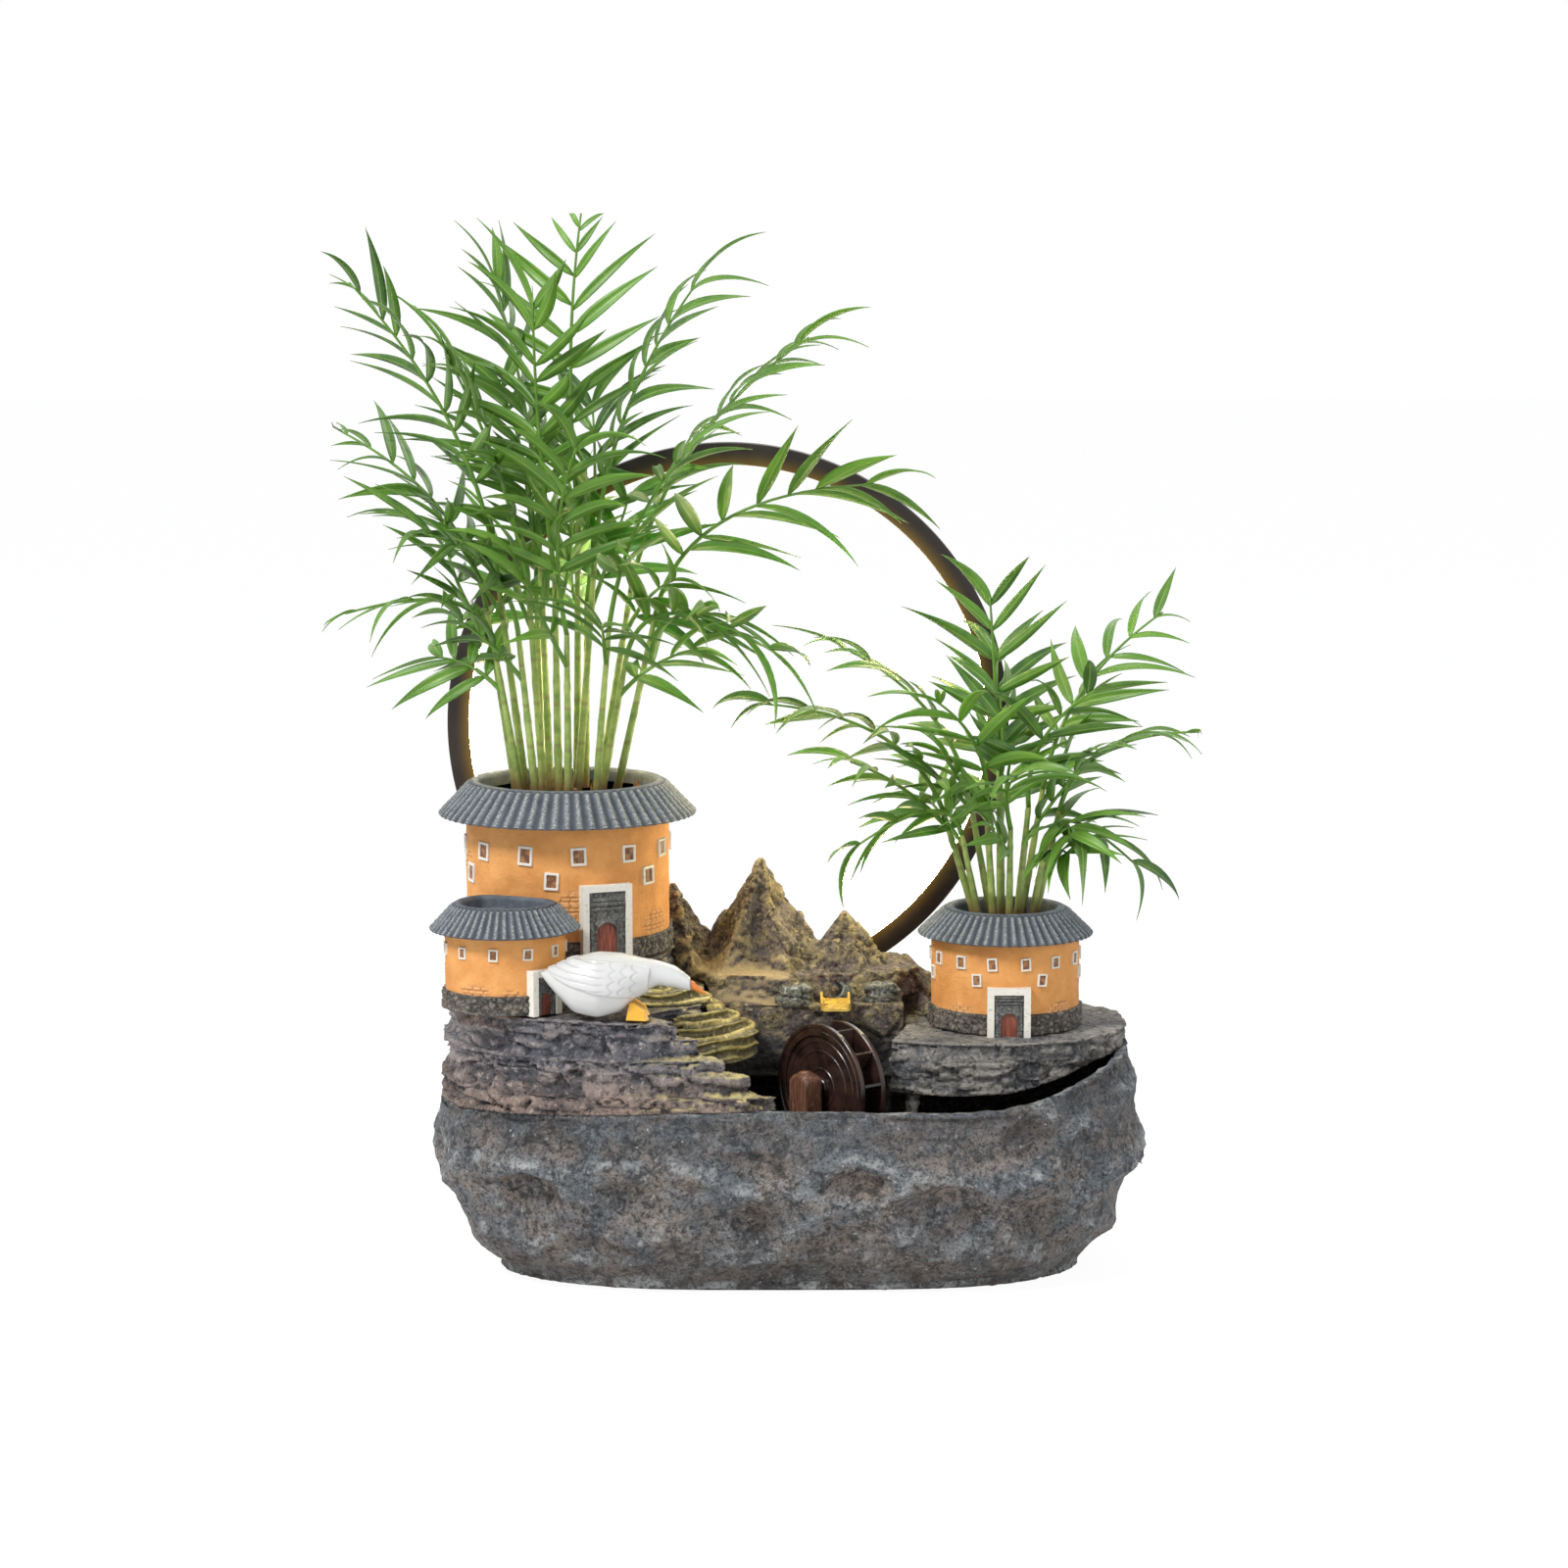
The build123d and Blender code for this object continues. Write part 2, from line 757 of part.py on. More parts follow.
# Cliff of slate layers, each ending in a tip towards the wheel
cliff_tip_shares = [-0.02, -0.10, -0.17, -0.24, -0.30]
cliff_layer_shares = [1.0, 0.98, 0.993, 0.965, 0.978]
cliff_edge_shares = [
    (-0.235, -0.42),
    (-0.235, 0.90),
    (-0.45, 0.90),
    (-0.70, 0.80),
    (-0.88, 0.58),
    (-0.955, 0.30),
    (-0.97, 0.0),
    (-0.955, -0.32),
    (-0.90, -0.56),
    (-0.77, -0.76),
    (-0.60, -0.86),
    (-0.47, -0.905),
]
house_step_shares = [
    (1.0, 0.12),
    (0.80, 0.62),
    (0.40, 0.93),
    (-0.10, 1.03),
    (-0.62, 0.80),
    (-0.96, 0.35),
    (-0.98, -0.25),
    (-0.62, -0.78),
    (-0.05, -0.97),
    (0.50, -0.90),
    (0.90, -0.45),
]
cliff_base = lip_height - rim_rise
cliff_layer = (cliff_top - lip_height) / cliff_layer_count


def cliff_outline(layer):
    tip = cliff_tip_shares[layer]
    scale = cliff_layer_shares[layer]
    shares = [(tip, -0.86), (tip - 0.10, -0.68)] + cliff_edge_shares + [(tip - 0.14, -0.925)]
    return spread(shares, belly_half_width, belly_half_depth, scale=scale)


with BuildPart() as strata_cliff:
    for layer in range(cliff_layer_count):
        low = lip_height + layer * cliff_layer if layer else cliff_base
        with BuildSketch(Plane.XY.offset(low)):
            with BuildLine():
                Polyline(*cliff_outline(layer), close=True)
            make_face()
        extrude(amount=lip_height + (layer + 1) * cliff_layer - low)
    with BuildSketch(level_plane(big_house_x, big_house_y, cliff_top)):
        with BuildLine():
            Polyline(*spread(house_step_shares, house_step_radius, house_step_radius), close=True)
        make_face()
    extrude(amount=big_house_base - cliff_top, taper=house_step_angle)
    with BuildSketch(Plane.XZ):
        add(rim_region(0))
    extrude(amount=belly_half_depth + overrun, both=True, mode=Mode.SUBTRACT)
    add(round_slab(left_house_x, left_house_y, left_house_wall_radius + plinth_reach,
                   cliff_top, left_house_eave), mode=Mode.SUBTRACT)
    add(ring_slot, mode=Mode.SUBTRACT)
strata_cliff.part.label = "strata_cliff"
export_step(strata_cliff.part, "parts/strata_cliff.step")

# Terraced knoll: rounded steps that shrink and drift towards the back
with BuildPart() as terrace_hill:
    for step in range(terrace_count):
        low = terrace_first_top + (step - 1) * terrace_rise if step else terrace_base
        high = terrace_first_top + step * terrace_rise
        with BuildSketch(level_plane(terrace_x - step * terrace_drift, terrace_y, low)):
            with BuildLine():
                Polyline(*oval(terrace_half_width - step * terrace_setback,
                               terrace_half_depth - step * terrace_setback,
                               terrace_side_count), close=True)
            make_face()
        extrude(amount=high - low)
    add(strata_cliff.part, mode=Mode.SUBTRACT)
    add(round_slab(big_house_x, big_house_y, big_house_wall_radius + plinth_reach + free_clearance,
                   cliff_top, big_house_rim), mode=Mode.SUBTRACT)
terrace_hill.part.label = "terrace_hill"
export_step(terrace_hill.part, "parts/terrace_hill.step")

# Riser hose: its route from the pump to the spout, and its solids
shelf_height = wheel_height + wheel_radius + spout_gap
pump_floor = cavity_floor + cup_height
pump_top = pump_floor + pump_height
nozzle_y = pump_front + nozzle_setback
hose_points = [
    (pump_x, nozzle_y, pump_top),
    (pump_x, nozzle_y, hose_elbow_height),
    (hose_end_x, hose_end_y, hose_end_height),
]
hose_last_run = (Vector(*hose_points[2]) - Vector(*hose_points[1])).length
hose_turn = (Vector(*hose_points[2]) - Vector(*hose_points[1])).get_angle(Vector(0, 0, 1))
hose_bend_radius = hose_bend_share * hose_last_run / math.tan(math.radians(hose_turn / 2))


hose_stop_shares = [(0, 0.0), (1, 0.0), (1, 0.33), (1, 0.67), (1, 1.0), (2, 1.0)]
with BuildLine() as hose_route:
    FilletPolyline(*hose_points, radius=hose_bend_radius)
hose_side_axis = (Vector(*hose_points[2]) - Vector(*hose_points[1])).cross(Vector(0, 0, 1))


def hose_solid(radius):
    """Many-sided rod along the hose's route, turned in steps round its bend."""
    outlines = []
    for leg, share in hose_stop_shares:
        run = hose_route.wires()[0].edges()[leg]
        square = Plane(origin=run @ share, x_dir=hose_side_axis, z_dir=run % share)
        outlines.append([square.from_local_coords(Vector(a, b))
                         for a, b in oval(radius, radius, hose_side_count)])
    return facet_loft(outlines)


with BuildPart() as riser_tube:
    add(hose_solid(hose_radius))
    add(hose_solid(nozzle_radius / math.cos(math.pi / hose_side_count)), mode=Mode.SUBTRACT)
riser_hose = riser_tube.part
riser_hose.label = "riser_hose"
export_step(riser_hose, "parts/riser_hose.step")
hose_channel = hose_solid(hose_radius + slot_clearance)

# Ridge: a block behind the wheel, a bank above it and four peaks
bank_shares = [
    (0.02, 0.0),
    (0.30, -0.06),
    (0.62, -0.02),
    (0.96, 0.04),
    (1.12, 0.30),
    (1.02, 0.86),
    (0.50, 0.98),
    (0.05, 0.96),
    (-0.10, 0.60),
    (-0.08, 0.22),
]
peak_base_shares = [
    (1.0, 0.08),
    (0.74, 0.50),
    (0.52, 0.92),
    (0.02, 0.78),
    (-0.50, 0.94),
    (-0.76, 0.46),
    (-1.02, 0.06),
    (-0.70, -0.40),
    (-0.54, -0.90),
    (-0.06, -0.72),
    (0.42, -1.0),
    (0.66, -0.48),
]
peak_profile_shares = [(1.0, 0.0), (0.42, 0.62), (0.03, 1.0)]


def build_peak(x, y, foot, top, radius):
    """Craggy cone: a star-shaped foot, a narrower waist and a small tip."""
    return facet_loft([at_height(spread(peak_base_shares, radius, radius, x, y, scale_share),
                                 foot + rise_share * (top - foot))
                       for scale_share, rise_share in peak_profile_shares])


with BuildPart() as mountain_ridge:
    with BuildSketch(Plane.XY.offset(cliff_base)):
        with Locations(((ridge_left + ridge_right) / 2, (ridge_front + ridge_back) / 2)):
            Rectangle(ridge_right - ridge_left, ridge_back - ridge_front)
    extrude(amount=shelf_height - cliff_base)
    with BuildSketch(level_plane(ridge_left, bank_front, shelf_height)):
        with BuildLine():
            Polyline(*spread(bank_shares, ridge_right - ridge_left, ridge_back - bank_front),
                     close=True)
        make_face()
    extrude(amount=bank_height, taper=house_step_angle)
    add(build_peak(main_peak_x, main_peak_y, shelf_height - peak_sink, main_peak_top,
                   main_peak_radius))
    add(build_peak(east_peak_x, east_peak_y, shelf_height - peak_sink, east_peak_top,
                   east_peak_radius))
    add(build_peak(west_peak_x, west_peak_y, shelf_height - peak_sink, west_peak_top,
                   west_peak_radius))
    add(build_peak(low_peak_x, low_peak_y, ledge_top, low_peak_top, low_peak_radius))
    with BuildSketch(Plane.XZ):
        add(rim_region(0))
    extrude(amount=belly_half_depth + overrun, both=True, mode=Mode.SUBTRACT)
    add(strata_cliff.part, mode=Mode.SUBTRACT)
    add(terrace_hill.part, mode=Mode.SUBTRACT)
    add(round_slab(big_house_x, big_house_y, big_house_wall_radius + plinth_reach + free_clearance,
                   shelf_height - overrun, big_house_rim), mode=Mode.SUBTRACT)
    add(round_slab(right_house_x, right_house_y,
                   right_house_wall_radius + plinth_reach + free_clearance,
                   shelf_height - overrun, right_house_rim), mode=Mode.SUBTRACT)
    add(ring_slot, mode=Mode.SUBTRACT)
    add(hose_channel, mode=Mode.SUBTRACT)

# Ledge: two slabs that lean out over the pond, and the pillar under them
ledge_shares = [
    (0.27, -0.40),
    (0.42, -0.50),
    (0.62, -0.505),
    (0.78, -0.41),
    (0.905, -0.20),
    (0.945, 0.05),
    (0.93, 0.36),
    (0.84, 0.60),
    (0.66, 0.78),
    (0.45, 0.88),
]
ledge_lower_scale_share = 0.975
pillar_shares = [(1.0, 0.1), (0.3, 0.9), (-0.7, 0.8), (-0.9, -0.3), (-0.2, -0.9), (0.7, -0.7)]


def ledge_outline(scale):
    inner = [(ridge_right, ridge_back * ledge_back_share), (ridge_right, ridge_front)]
    return spread(ledge_shares, belly_half_width, belly_half_depth, scale=scale) + inner


ledge_back_share = 0.985

with BuildPart() as right_ledge:
    with BuildSketch(Plane.XY.offset(ledge_top - ledge_layer)):
        with BuildLine():
            Polyline(*ledge_outline(1), close=True)
        make_face()
    extrude(amount=ledge_layer)
    with BuildSketch(Plane.XY.offset(cliff_base)):
        with BuildLine():
            Polyline(*ledge_outline(ledge_lower_scale_share), close=True)
        make_face()
    extrude(amount=ledge_top - ledge_layer - cliff_base)
    with BuildSketch(Plane.XZ):
        add(rim_region(0))
    extrude(amount=belly_half_depth + overrun, both=True, mode=Mode.SUBTRACT)
    with BuildSketch(level_plane(pillar_x, pillar_y, cavity_floor)):
        with BuildLine():
            Polyline(*spread(pillar_shares, pillar_radius, pillar_radius), close=True)
        make_face()
    extrude(amount=ledge_top - ledge_layer - cavity_floor)
    add(ring_slot, mode=Mode.SUBTRACT)
    add(hose_channel, mode=Mode.SUBTRACT)
right_ledge.part.label = "right_ledge"
export_step(right_ledge.part, "parts/right_ledge.step")

with mountain_ridge:
    add(right_ledge.part, mode=Mode.SUBTRACT)
mountain_ridge.part.label = "mountain_ridge"
export_step(mountain_ridge.part, "parts/mountain_ridge.step")

# Spout trough on the shelf, with a rounded lip over the wheel
with BuildPart() as spout_trough:
    with BuildSketch(Plane.XZ.offset(-spout_root_y)):
        with Locations((spout_x, shelf_height + spout_side / 2)):
            Rectangle(spout_width, spout_side)
        with Locations((spout_x, shelf_height + spout_wall + spout_side / 2)):
            Rectangle(spout_width - 2 * spout_wall, spout_side, mode=Mode.SUBTRACT)
    extrude(amount=spout_root_y - spout_tip_y)
spout_trough.part.label = "spout_trough"
export_step(spout_trough.part, "parts/spout_trough.step")

# Flat stones on the shelf, either side of the trough
stone_place_shares = [(-1.35, 0.0), (1.50, 0.25)]
stone_shares = [
    (1.0, -0.30),
    (0.80, 0.45),
    (0.15, 0.60),
    (-0.70, 0.52),
    (-1.0, 0.0),
    (-0.62, -0.55),
    (0.35, -0.62),
]
stone_half_width = spout_width / 2
with BuildPart() as spout_stones:
    for x_share, y_share in stone_place_shares:
        with BuildSketch(level_plane(spout_x + x_share * spout_width,
                                     y_share * spout_width, shelf_height)):
            with BuildLine():
                Polyline(*spread(stone_shares, stone_half_width, stone_half_width), close=True)
            make_face()
    extrude(amount=stone_height, taper=house_step_angle)
    add(mountain_ridge.part, mode=Mode.SUBTRACT)
spout_stones.part.label = "spout_stones"
export_step(spout_stones.part, "parts/spout_stones.step")

# Water wheel: everything on it is drawn on planes square to its axle
wheel_turn = math.radians(wheel_turn_angle)
wheel_plane = Plane(origin=(wheel_x, wheel_y, wheel_height),
                    x_dir=(math.cos(wheel_turn), -math.sin(wheel_turn), 0),
                    z_dir=(-math.sin(wheel_turn), -math.cos(wheel_turn), 0))
wheel_half = wheel_width / 2


def wheel_layer(side, distance):
    """Plane at a distance from the wheel's middle, looking outwards on that side."""
    outward = wheel_plane.offset(side * distance)
    return Plane(origin=outward.origin, x_dir=wheel_plane.x_dir, z_dir=wheel_plane.z_dir * side)


def build_disc(side):
    """Side disc with a raised rim and a raised hub, bored for the axle."""
    back = wheel_half - wheel_disc - wheel_rim_step
    with BuildPart() as disc:
        with BuildSketch(wheel_layer(side, back)):
            Circle(wheel_radius)
        extrude(amount=wheel_disc)
        with BuildSketch(wheel_layer(side, back + wheel_disc)):
            Circle(wheel_radius)
            Circle(wheel_radius - wheel_rim_width, mode=Mode.SUBTRACT)
        extrude(amount=wheel_rim_step)
        with BuildSketch(wheel_layer(side, back + wheel_disc)):
            Circle(wheel_hub_radius)
        extrude(amount=wheel_hub_step)
        with BuildSketch(wheel_layer(side, 0)):
            Circle(axle_radius)
        extrude(amount=wheel_width, mode=Mode.SUBTRACT)
    return disc.part


for disc_name, disc_side in (("wheel_front_disc", 1), ("wheel_rear_disc", -1)):
    wheel_disc_part = build_disc(disc_side)
    wheel_disc_part.label = disc_name
    export_step(wheel_disc_part, "parts/" + disc_name + ".step")

# Drum with leaning buckets, moulded in one between the discs
bucket_centre_share = 0.45
axle_bite_share = 0.6
bucket_half = wheel_half - wheel_disc - wheel_rim_step
bucket_length = (wheel_radius - drum_radius) / math.cos(math.radians(bucket_lean_angle))
with BuildPart() as wheel_buckets:
    with BuildSketch(wheel_layer(1, 0)):
        Circle(drum_radius)
        with PolarLocations(drum_radius, bucket_count):
            with Locations(Rotation(0, 0, bucket_lean_angle)):
                with Locations((bucket_length * bucket_centre_share, 0)):
                    Rectangle(bucket_length, bucket_thickness)
        Circle(axle_radius, mode=Mode.SUBTRACT)
    extrude(amount=bucket_half, both=True)
wheel_buckets.part.label = "wheel_buckets"
export_step(wheel_buckets.part, "parts/wheel_buckets.step")

# Axle, its two bushes and the two posts
post_near = wheel_half + post_gap
post_far = post_near + post_depth
axle_half = post_near + post_depth * axle_bite_share
with BuildPart() as wheel_axle:
    with BuildSketch(wheel_plane):
        Circle(axle_radius)
    extrude(amount=axle_half, both=True)
wheel_axle.part.label = "wheel_axle"
export_step(wheel_axle.part, "parts/wheel_axle.step")


def build_bush(side):
    """Flanged bush in a post, bored with a running clearance."""
    with BuildPart() as bush:
        with BuildSketch(wheel_layer(side, post_near)):
            Circle(bush_radius)
        extrude(amount=axle_half - post_near + free_clearance)
        with BuildSketch(wheel_layer(side, post_near - bush_flange)):
            Circle(bush_radius + bush_flange)
        extrude(amount=bush_flange)
        with BuildSketch(wheel_layer(side, 0)):
            Circle(axle_radius + running_clearance)
        extrude(amount=axle_half + free_clearance, mode=Mode.SUBTRACT)
    return bush.part


def build_post(side):
    """Square post on the basin floor with a rounded top, bored for its bush."""
    foot = cavity_floor - wheel_height
    with BuildPart() as post:
        with BuildSketch(wheel_layer(side, post_near)):
            with Locations((0, side * (post_rise + foot) / 2)):
                Rectangle(post_width, post_rise - foot)
        extrude(amount=post_depth)
        fillet(post.edges().filter_by(Axis(wheel_plane.origin, wheel_plane.z_dir))
               .group_by(Axis.Z)[-1], radius=post_cap_radius)
        with BuildSketch(wheel_layer(side, post_near)):
            Circle(bush_radius)
        extrude(amount=axle_half - post_near + free_clearance, mode=Mode.SUBTRACT)
    return post.part


for post_name, bush_name, post_side in (("wheel_front_post", "wheel_front_bush", 1),
                                        ("wheel_rear_post", "wheel_rear_bush", -1)):
    bush_part = build_bush(post_side)
    bush_part.label = bush_name
    export_step(bush_part, "parts/" + bush_name + ".step")
    post_part = build_post(post_side)
    post_part.label = post_name
    export_step(post_part, "parts/" + post_name + ".step")


# Pump housing on its suction cups, with the volute, the magnet's bore and the nozzle
pump_back = pump_front + pump_depth
pump_axis_height = pump_floor + pump_height / 2
volute_back = pump_front + volute_depth
magnet_back = volute_back + magnet_length + free_clearance
pump_face = Plane.XZ.offset(-pump_front)

with BuildPart() as pump_housing:
    with BuildSketch(level_plane(pump_x, (pump_front + pump_back) / 2, pump_floor)):
        RectangleRounded(pump_width, pump_depth, pump_corner)
    extrude(amount=pump_height)
    with BuildSketch(pump_face):
        with Locations((pump_x, pump_axis_height)):
            Circle(volute_radius)
    extrude(amount=-volute_depth, mode=Mode.SUBTRACT)
    with BuildSketch(pump_face):
        with Locations((pump_x, pump_axis_height)):
            Circle(magnet_radius + free_clearance)
    extrude(amount=pump_front - magnet_back, mode=Mode.SUBTRACT)
    with BuildSketch(level_plane(pump_x, nozzle_y, pump_top)):
        Circle(nozzle_radius)
    extrude(amount=nozzle_length)
    with BuildSketch(level_plane(pump_x, nozzle_y, pump_top + nozzle_length)):
        Circle(nozzle_bore_radius)
    extrude(amount=pump_axis_height - pump_top - nozzle_length, mode=Mode.SUBTRACT)
    with BuildSketch(pump_face):
        with Locations((pump_x, pump_axis_height)):
            Circle(shaft_radius)
    extrude(amount=pump_front - magnet_back - shaft_seat, mode=Mode.SUBTRACT)
pump_housing.part.label = "pump_housing"
export_step(pump_housing.part, "parts/pump_housing.step")

# Suction cups under the housing
with BuildPart() as pump_suction_cups:
    for cup_x in (pump_x - pump_width / 2 + cup_inset, pump_x + pump_width / 2 - cup_inset):
        for cup_y in (pump_front + cup_inset, pump_back - cup_inset):
            add(facet_loft([at_height(oval(radius, radius, cup_side_count, cup_x, cup_y), level)
                            for radius, level in ((cup_radius, cavity_floor),
                                                  (cup_neck_radius, pump_floor))]))
pump_suction_cups.part.label = "pump_suction_cups"
export_step(pump_suction_cups.part, "parts/pump_suction_cups.step")

# Intake cover: a slotted plate with a blind boss hole behind and a dial hole in front
cover_front = pump_front - pump_cover_depth
with BuildPart() as pump_cover:
    with BuildSketch(pump_face):
        with Locations((pump_x, pump_axis_height)):
            RectangleRounded(pump_width, pump_height, pump_corner)
    extrude(amount=pump_cover_depth)
    with BuildSketch(pump_face):
        for side in (-1, 1):
            for place in range(slot_count_per_side):
                offset = side * (dial_radius + grille_web + place * slot_pitch)
                with Locations((pump_x + offset, pump_axis_height)):
                    SlotOverall(slot_length, slot_width, rotation=slot_angle)
    extrude(amount=pump_cover_depth, mode=Mode.SUBTRACT)
    with BuildSketch(pump_face):
        with Locations((pump_x, pump_axis_height)):
            Circle(shaft_radius + running_clearance)
    extrude(amount=shaft_nose + free_clearance, mode=Mode.SUBTRACT)
    with BuildSketch(Plane.XZ.offset(-cover_front)):
        with Locations((pump_x, pump_axis_height)):
            Circle(dial_pin_radius + running_clearance)
    extrude(amount=-(dial_pin_length + free_clearance), mode=Mode.SUBTRACT)
pump_cover.part.label = "pump_cover"
export_step(pump_cover.part, "parts/pump_cover.step")

# Shaft: a ceramic pin from the housing's back to the cover's boss
shaft_back = magnet_back + shaft_seat
with BuildPart() as pump_shaft:
    with BuildSketch(Plane.XZ.offset(-(pump_front - shaft_nose))):
        with Locations((pump_x, pump_axis_height)):
            Circle(shaft_radius)
    extrude(amount=pump_front - shaft_nose - shaft_back)
pump_shaft.part.label = "pump_shaft"
export_step(pump_shaft.part, "parts/pump_shaft.step")

# Rotor: vanes in the volute in front of the round magnet
rotor_front = volute_back - free_clearance - vane_length
with BuildPart() as pump_rotor:
    with BuildSketch(Plane.XZ.offset(-rotor_front)):
        with Locations((pump_x, pump_axis_height)):
            Circle(magnet_radius)
            with PolarLocations(vane_radius / 2, vane_count):
                Rectangle(vane_radius, vane_thickness)
    extrude(amount=-vane_length)
    with BuildSketch(Plane.XZ.offset(-(rotor_front + vane_length))):
        with Locations((pump_x, pump_axis_height)):
            Circle(magnet_radius)
    extrude(amount=-magnet_length)
    with BuildSketch(Plane.XZ.offset(-rotor_front)):
        with Locations((pump_x, pump_axis_height)):
            Circle(shaft_radius + running_clearance)
    extrude(amount=-(vane_length + magnet_length), mode=Mode.SUBTRACT)
pump_rotor.part.label = "pump_rotor"
export_step(pump_rotor.part, "parts/pump_rotor.step")

# Flow dial on the cover, with its pin and finger grip
dial_grip_share = 0.8
with BuildPart() as pump_dial:
    with BuildSketch(Plane.XZ.offset(-(cover_front - dial_gap))):
        with Locations((pump_x, pump_axis_height)):
            Circle(dial_radius)
    extrude(amount=dial_thickness)
    with BuildSketch(Plane.XZ.offset(-(cover_front - dial_gap))):
        with Locations((pump_x, pump_axis_height)):
            Circle(dial_pin_radius)
    extrude(amount=-(dial_pin_length + dial_gap))
    with BuildSketch(Plane.XZ.offset(-(cover_front - dial_gap - dial_thickness))):
        with Locations((pump_x, pump_axis_height)):
            Rectangle(dial_grip_width, 2 * dial_radius * dial_grip_share)
    extrude(amount=dial_grip_height)
pump_dial.part.label = "pump_dial"
export_step(pump_dial.part, "parts/pump_dial.step")

beak_tip_share = 0.3
goose_foot_shares = [(-0.5, -0.3), (0.45, -0.45), (0.62, 0.0), (0.45, 0.45), (-0.5, 0.3)]

# Goose: body and neck lofted through upright ovals from the tail to the head
goose_section_shares = [
    (0.00, 1.22, 0.04, 0.05),
    (0.09, 1.05, 0.40, 0.36),
    (0.22, 0.90, 0.84, 0.74),
    (0.38, 0.91, 1.02, 0.94),
    (0.54, 0.98, 0.90, 0.80),
    (0.67, 1.17, 0.56, 0.50),
    (0.78, 1.24, 0.38, 0.36),
    (0.90, 1.12, 0.34, 0.33),
    (1.00, 0.92, 0.22, 0.22),
]


def goose_place(length_share, rise_share):
    return Vector(goose_tail_x + length_share * goose_length, goose_y,
                  goose_base + rise_share * goose_rise)


def upright_oval(place, half_width, half_height):
    """Oval across the goose at a place along it."""
    return [place + Vector(0, across, rise)
            for across, rise in oval(half_width, half_height, goose_side_count)]


with BuildPart() as goose_body:
    add(facet_loft([upright_oval(goose_place(length_share, rise_share),
                                 goose_girth * wide_share, goose_girth * tall_share)
                    for length_share, rise_share, tall_share, wide_share in goose_section_shares]))
    split(bisect_by=Plane.XY.offset(goose_base))
goose_body.part.label = "goose_body"
export_step(goose_body.part, "parts/goose_body.step")

# Beak, seated on the flat front of the head
beak_root = goose_place(goose_section_shares[-1][0], goose_section_shares[-1][1])
beak_tip = beak_root + Vector(beak_length, 0, -beak_drop)
beak_tip_radius = beak_radius * beak_tip_share
with BuildPart() as goose_beak:
    add(facet_loft([upright_oval(beak_root, beak_radius, beak_radius),
                    upright_oval(beak_tip, beak_tip_radius, beak_tip_radius)]))
goose_beak.part.label = "goose_beak"
export_step(goose_beak.part, "parts/goose_beak.step")

# Webbed feet under the breast
with BuildPart() as goose_feet:
    for side in (-1, 1):
        with BuildSketch(level_plane(goose_foot_x, goose_y + side * goose_foot_pitch / 2,
                                     goose_base)):
            with BuildLine():
                Polyline(*spread(goose_foot_shares, goose_foot_length, goose_foot_width), close=True)
            make_face()
    extrude(amount=goose_foot_height, taper=house_step_angle)
    add(goose_body.part, mode=Mode.SUBTRACT)
goose_feet.part.label = "goose_feet"
export_step(goose_feet.part, "parts/goose_feet.step")

# Soil in the two planters
big_soil_top = big_house_rim - soil_drop
right_soil_top = right_house_rim - soil_drop
big_planter_soil = round_slab(big_house_x, big_house_y, big_house_wall_radius - pot_wall,
                              big_house_base + pot_floor, big_soil_top)
big_planter_soil.label = "big_planter_soil"
export_step(big_planter_soil, "parts/big_planter_soil.step")
right_planter_soil = round_slab(right_house_x, right_house_y, right_house_wall_radius - pot_wall,
                                right_house_base + pot_floor, right_soil_top)
right_planter_soil.label = "right_planter_soil"
export_step(right_planter_soil, "parts/right_planter_soil.step")

# Palm fronds: heading as a share of a turn (0 right, a quarter back), reach, tip height,
# root distance and cane height as shares of the palm's own sizes
big_frond_shares = [
    (0.98, 1.00, 0.55, 0.95, 0.32),
    (0.03, 0.80, 0.79, 0.60, 0.36),
    (0.92, 0.78, 0.27, 0.75, 0.26),
    (0.12, 0.12, 1.00, 0.25, 0.50),
    (0.42, 0.27, 0.90, 0.40, 0.42),
    (0.53, 0.68, 0.885, 0.80, 0.38),
    (0.49, 0.755, 0.64, 1.00, 0.33),
    (0.57, 0.74, 0.34, 0.95, 0.27),
    (0.76, 0.50, 0.62, 0.90, 0.30),
    (0.64, 0.62, 0.48, 0.90, 0.29),
    (0.86, 0.62, 0.60, 0.95, 0.31),
    (0.36, 0.34, 0.72, 0.80, 0.36),
    (0.18, 0.26, 0.68, 0.75, 0.34),
    (0.70, 0.24, 0.86, 0.45, 0.40),
    (0.96, 0.44, 0.88, 0.20, 0.42),
    (0.60, 0.42, 0.76, 0.55, 0.37),
]
small_frond_shares = [
    (0.49, 1.00, 0.67, 0.95, 0.34),
    (0.46, 0.70, 0.84, 0.45, 0.40),
    (0.58, 0.10, 1.00, 0.20, 0.48),
    (0.03, 0.66, 0.94, 0.50, 0.42),
    (0.98, 0.785, 0.60, 0.95, 0.36),
    (0.94, 0.56, 0.22, 0.90, 0.28),
    (0.54, 0.64, 0.27, 0.90, 0.29),
    (0.76, 0.44, 0.50, 0.90, 0.32),
    (0.86, 0.50, 0.75, 0.55, 0.38),
    (0.65, 0.50, 0.72, 0.70, 0.38),
    (0.27, 0.28, 0.80, 0.80, 0.40),
]
knee_share = 0.16
pull_share = 0.5
stalk_end_share = 0.8
leaf_pair_count = 3
leaf_droop_share = 0.18
leaf_outline_shares = [(0.0, 0.0), (0.38, -0.5), (1.0, 0.0), (0.38, 0.5)]


